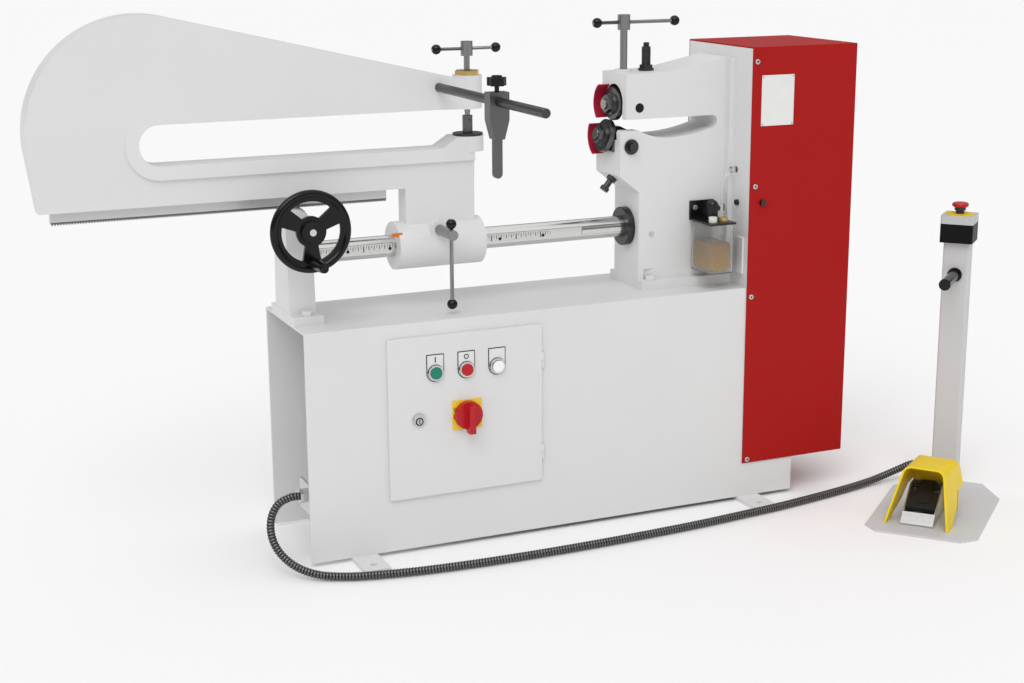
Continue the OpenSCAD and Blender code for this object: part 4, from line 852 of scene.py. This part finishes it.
def make_cover_trim(materials):
    left, face, base = lowest("drive_cover")
    right, back, top = highest("drive_cover")
    front_places = [(left + inset, face, top - drop)
                    for inset, drop in zip(COVER_FRONT_INSETS, COVER_SCREW_DROPS)]
    front_places.append((left + COVER_FRONT_LOW[0], face, base + COVER_FRONT_LOW[1]))
    make_screws("cover_screws", "cover_screw_socket_shades", materials, "Y", -1, front_places)
    heights = [top - drop for drop in COVER_SCREW_DROPS] + [base + COVER_LOW_ROW]
    side_places = [(right, y, z) for y in (face + COVER_EDGE, back - COVER_EDGE) for z in heights]
    make_screws("cover_side_screws", "cover_side_socket_shades", materials, "X", 1, side_places)
    back_places = [(x, back, z) for x in (left + COVER_EDGE, right - COVER_EDGE) for z in heights]
    make_screws("cover_back_screws", "cover_back_socket_shades", materials, "Y", 1, back_places)
    cap_place = (left + CAP_SCREW_PLACE[0], face - CAP_SCREW_HEIGHT, top - CAP_SCREW_PLACE[1])
    cap = drum("cover_cap_screw", "Y", cap_place, CAP_SCREW_HEIGHT, 6)
    dress(cap, materials["fastener_steel"], "frame", 0.8)
    plate_left, plate_right = (left + side for side in DATA_PLATE_SIDES)
    plate_low, plate_top = (top - drop for drop in DATA_PLATE_DROPS)
    plate = slab("bare_data_plate", (plate_left, face - DATA_PLATE_THICK, plate_low),
                 (plate_right, face, plate_top))
    dress(plate, materials["plate"], "frame", 0.2)
    rivets = [drum("rivet", "Y", (x, face - 2 * DATA_PLATE_THICK, z), 0.9, 1.8, 16)
              for x in (plate_left + RIVET_INSET, plate_right - RIVET_INSET)
              for z in (plate_low + RIVET_INSET, plate_top - RIVET_INSET)]
    dress(joined("data_plate_rivets", rivets), materials["bright"], "frame", 0.2)


# Half width, top above the device, thickness
LEGEND_EDGE = (16.8, 34, 0.8)
LEGEND_PLATE = (15.3, 32.4, 1.1)
SWITCH_PLATE_THICK = 3

# Marks and lock, measured from the middle of their device
MARK_HALF = 0.9
START_MARK_RISE = (19, 29)
STOP_MARK_RISE = 24
SWITCH_OFF_PLACE = (23.5, 14)
SWITCH_ON_SIDES = (27, 26.2)
SWITCH_ON_HALF = 4
LOCK_RING_RADIUS = 7.6
LOCK_BARREL_RADIUS = 5.2
KEY_SLOT_HALF = 3.6


def legend_shape(name, x, z, half, top, front, back):
    """A plate with a round lower end, as two overlapping solids."""
    upper = slab(name + "_upper", (x - half, front, z), (x + half, back, top))
    lower = drum(name + "_lower", "Y", (x, front, z), back - front, half, 48)
    return joined(name, [upper, lower])


def ring(name, x, y, z, radius, thick):
    """A flat letter-like ring facing along -Y."""
    bpy.ops.mesh.primitive_torus_add(major_radius=radius * MM, minor_radius=thick * MM, major_segments=32,
                                     minor_segments=8, location=mm(x, y, z), rotation=AXIS_TURN["Y"])
    piece = bpy.context.active_object
    piece.name = name
    return settle(piece)


def make_door_trim(materials):
    face = lowest("control_door").y
    start, stop, lock = middle_of("start_button"), middle_of("stop_button"), middle_of("door_lock")
    switch_z = middle_of("switch_handle").z

    def print_and_shade(piece, body="door", slot="device_plastic"):
        dress(piece, materials["print_and_shade"], body, 0)

    devices = (("start", start.x, start.z), ("stop", stop.x, stop.z),
               ("lamp", stop.x + LAMP_OFFSET, stop.z))
    for name, x, z in devices:
        half, top, thick = LEGEND_EDGE
        print_and_shade(legend_shape(name + "_legend_edge", x, z, half, z + top, face - thick, face))
        half, top, thick = LEGEND_PLATE
        plate = legend_shape(name + "_legend_plate", x, z, half, z + top, face - thick, face)
        dress(plate, materials["legend"], "door", 0)
    bar_low = (start.x - MARK_HALF, face - 1.5, start.z + START_MARK_RISE[0])
    bar_high = (start.x + MARK_HALF, face - 1.0, start.z + START_MARK_RISE[1])
    print_and_shade(slab("start_mark", bar_low, bar_high))
    print_and_shade(ring("stop_mark", stop.x, face - 1.1, stop.z + STOP_MARK_RISE, 4, 0.8))
    plate_face = face - SWITCH_PLATE_THICK
    off_x, off_z = stop.x - SWITCH_OFF_PLACE[0], switch_z + SWITCH_OFF_PLACE[1]
    print_and_shade(ring("switch_off_mark", off_x, plate_face - 0.1, off_z, 2.4, 0.6))
    on_low = (stop.x - SWITCH_ON_SIDES[0], plate_face - 0.4, switch_z - SWITCH_ON_HALF)
    on_high = (stop.x - SWITCH_ON_SIDES[1], plate_face, switch_z + SWITCH_ON_HALF)
    print_and_shade(slab("switch_on_mark", on_low, on_high))
    front = lowest("door_lock").y
    core = drum("lock_core_ring", "Y", (lock.x, front - 0.2, switch_z), 0.8, LOCK_RING_RADIUS)
    print_and_shade(core, "door_lock", "black_plastic")
    barrel = drum("lock_barrel", "Y", (lock.x, front - 0.5, switch_z), 1.1, LOCK_BARREL_RADIUS)
    dress(barrel, materials["bright"], "door_lock", 0.2)
    # The key slot is a thin black slab: painted shade in the keyway
    slot_low = (lock.x - MARK_HALF, front - 0.7, switch_z - KEY_SLOT_HALF)
    slot_high = (lock.x + MARK_HALF, front + 0.3, switch_z + KEY_SLOT_HALF)
    print_and_shade(slab("lock_key_slot_shade", slot_low, slot_high), "door_lock", "black_plastic")


SCALE_START = 60
SCALE_END = 20
SCALE_HALF = 6.5
SCALE_SCREWS = (-380, -300, -83, 5)
BAR_FLAT = 2


def make_bar_trim(materials):
    low, centre = lowest("slide_bar"), middle_of("slide_bar")
    flat_y = low.y + BAR_FLAT
    strip = slab("scale_strip", (low.x + SCALE_START, flat_y - 0.4, centre.z - SCALE_HALF),
                 (SCALE_END, flat_y, centre.z + SCALE_HALF))
    dress(strip, materials["scale"], "frame", 0)
    screws = [drum("scale_screw", "Y", (x, flat_y - 0.8, centre.z - 1), 0.8, 3.0, 24) for x in SCALE_SCREWS]
    dress(joined("scale_screws", screws), materials["print_and_shade"], "frame", 0.2)


OIL_INSET = Vector((5.0, 5.0, 5.0))


def make_oil(materials):
    low, high = lowest("oil_bottle"), highest("oil_bottle")
    top = high - OIL_INSET
    top.z = low.z + (high.z - low.z) * OIL_LEVEL
    dress(slab("oil_fill", low + OIL_INSET, top), materials["oil"], "frame", 5.0, 4)


# Places on the head, right of its left edge and below its top
HEAD_HALF = 50
NOSE_HOLE_PLACE = (40, 87)
NOSE_HOLE_RADIUS = 9
COLUMN_SCREW_PLACE = (68, 328)

# Y and Z on the back panel
PANEL_SCREW_PLACE = (-79, 591)
PANEL_PAD_LOW = (-108, 455)
PANEL_PAD_HIGH = (-84, 527)


def make_head_trim(materials):
    left, top = lowest("head_frame").x, highest("head_frame").z
    face = middle_of("slide_bar").y - HEAD_HALF
    # The nose hole is a thin black disc on the face: painted shade where the hole is
    hole_place = (left + NOSE_HOLE_PLACE[0], face - 0.1, top - NOSE_HOLE_PLACE[1])
    hole_shade = drum("nose_hole_shade", "Y", hole_place, 0.3, NOSE_HOLE_RADIUS)
    dress(hole_shade, materials["print_and_shade"], "frame", 0)
    screw_place = (left + COLUMN_SCREW_PLACE[0], face - 2.5, top - COLUMN_SCREW_PLACE[1])
    screw = drum("column_screw", "Y", screw_place, 2.5, 4.5, 24)
    dress(screw, materials["bright"], "frame", 0.6)
    panel_x = lowest("back_panel").x
    cap = drum("panel_cap_screw", "X", (panel_x - 6, *PANEL_SCREW_PLACE), 6, 5.5)
    dress(cap, materials["fastener_steel"], "frame", 0.8)
    pad = slab("panel_pad", (panel_x - 5, *PANEL_PAD_LOW), (panel_x, *PANEL_PAD_HIGH))
    dress(pad, materials["panel_paint"], "frame", 2.2, 3)


POINTER_OFFSET = 128


def make_pointer(materials):
    centre = middle_of("slide_bar")
    root = lowest("clamp_nut").x - POINTER_OFFSET
    low = (root - 12, centre.y - 36, centre.z + 22)
    high = (root + 8, centre.y - 34, centre.z + 29)
    dress(slab("scale_pointer", low, high), materials["orange"], "carriage", 0.3)


# Stage
FLOOR_SIZE = 120
AMBIENT = 0.78
REFLECTED_LOW = 0.10
REFLECTED_HIGH = 1.05
SUN_STRENGTH = 1.1
SUN_TURN = 34
SUN_HEIGHT = 50
SUN_SPREAD = 40


def make_floor():
    bpy.ops.mesh.primitive_plane_add(size=FLOOR_SIZE, location=(0, 0, 0))
    floor = bpy.context.active_object
    floor.name = "floor"
    g = Surface("floor_white", roughness=0.7, specular_ior_level=0.1)
    g.put("Base Color", rgb(0.92, 0.92, 0.92))
    set_material(floor, g.material)


def make_world():
    """Even white light, with a darker horizon in what shiny faces reflect."""
    world = bpy.data.worlds.new("studio")
    world.use_nodes = True
    g = Graph(world.node_tree)
    height = g.split(g.node("TexCoord", out="Generated"))[2]
    seen = g.node("MapRange", {"interpolation_type": "SMOOTHSTEP"},
                  {"Value": height, "From Min": 0.05, "From Max": 0.8, "To Min": REFLECTED_LOW,
                   "To Max": REFLECTED_HIGH})
    glossy = g.node("LightPath", out="Is Glossy Ray")
    camera = g.node("LightPath", out="Is Camera Ray")
    sky = g.tree.nodes["Background"]
    g.feed(sky.inputs["Color"], rgb(1, 1, 1))
    g.feed(sky.inputs["Strength"], glossy * (seen - AMBIENT) + camera * (1 - AMBIENT) + AMBIENT)
    scene.world = world


def make_sun():
    data = bpy.data.lights.new("sun", "SUN")
    data.energy = SUN_STRENGTH
    data.angle = math.radians(SUN_SPREAD)
    sun = bpy.data.objects.new("sun", data)
    scene.collection.objects.link(sun)
    turn, height = math.radians(SUN_TURN), math.radians(SUN_HEIGHT)
    level = math.cos(height)
    from_sun = Vector((math.sin(turn) * level, math.cos(turn) * level, -math.sin(height)))
    sun.matrix_world = from_sun.to_track_quat("-Z", "Y").to_matrix().to_4x4()


make_camera()
conduit = make_conduit()
looks = make_materials()
set_material(conduit, looks["conduit_plastic"])
make_skins(looks)
make_cover_trim(looks)
make_door_trim(looks)
make_bar_trim(looks)
make_oil(looks)
make_head_trim(looks)
make_pointer(looks)
make_floor()
make_world()
make_sun()
scene.view_settings.view_transform = "Standard"
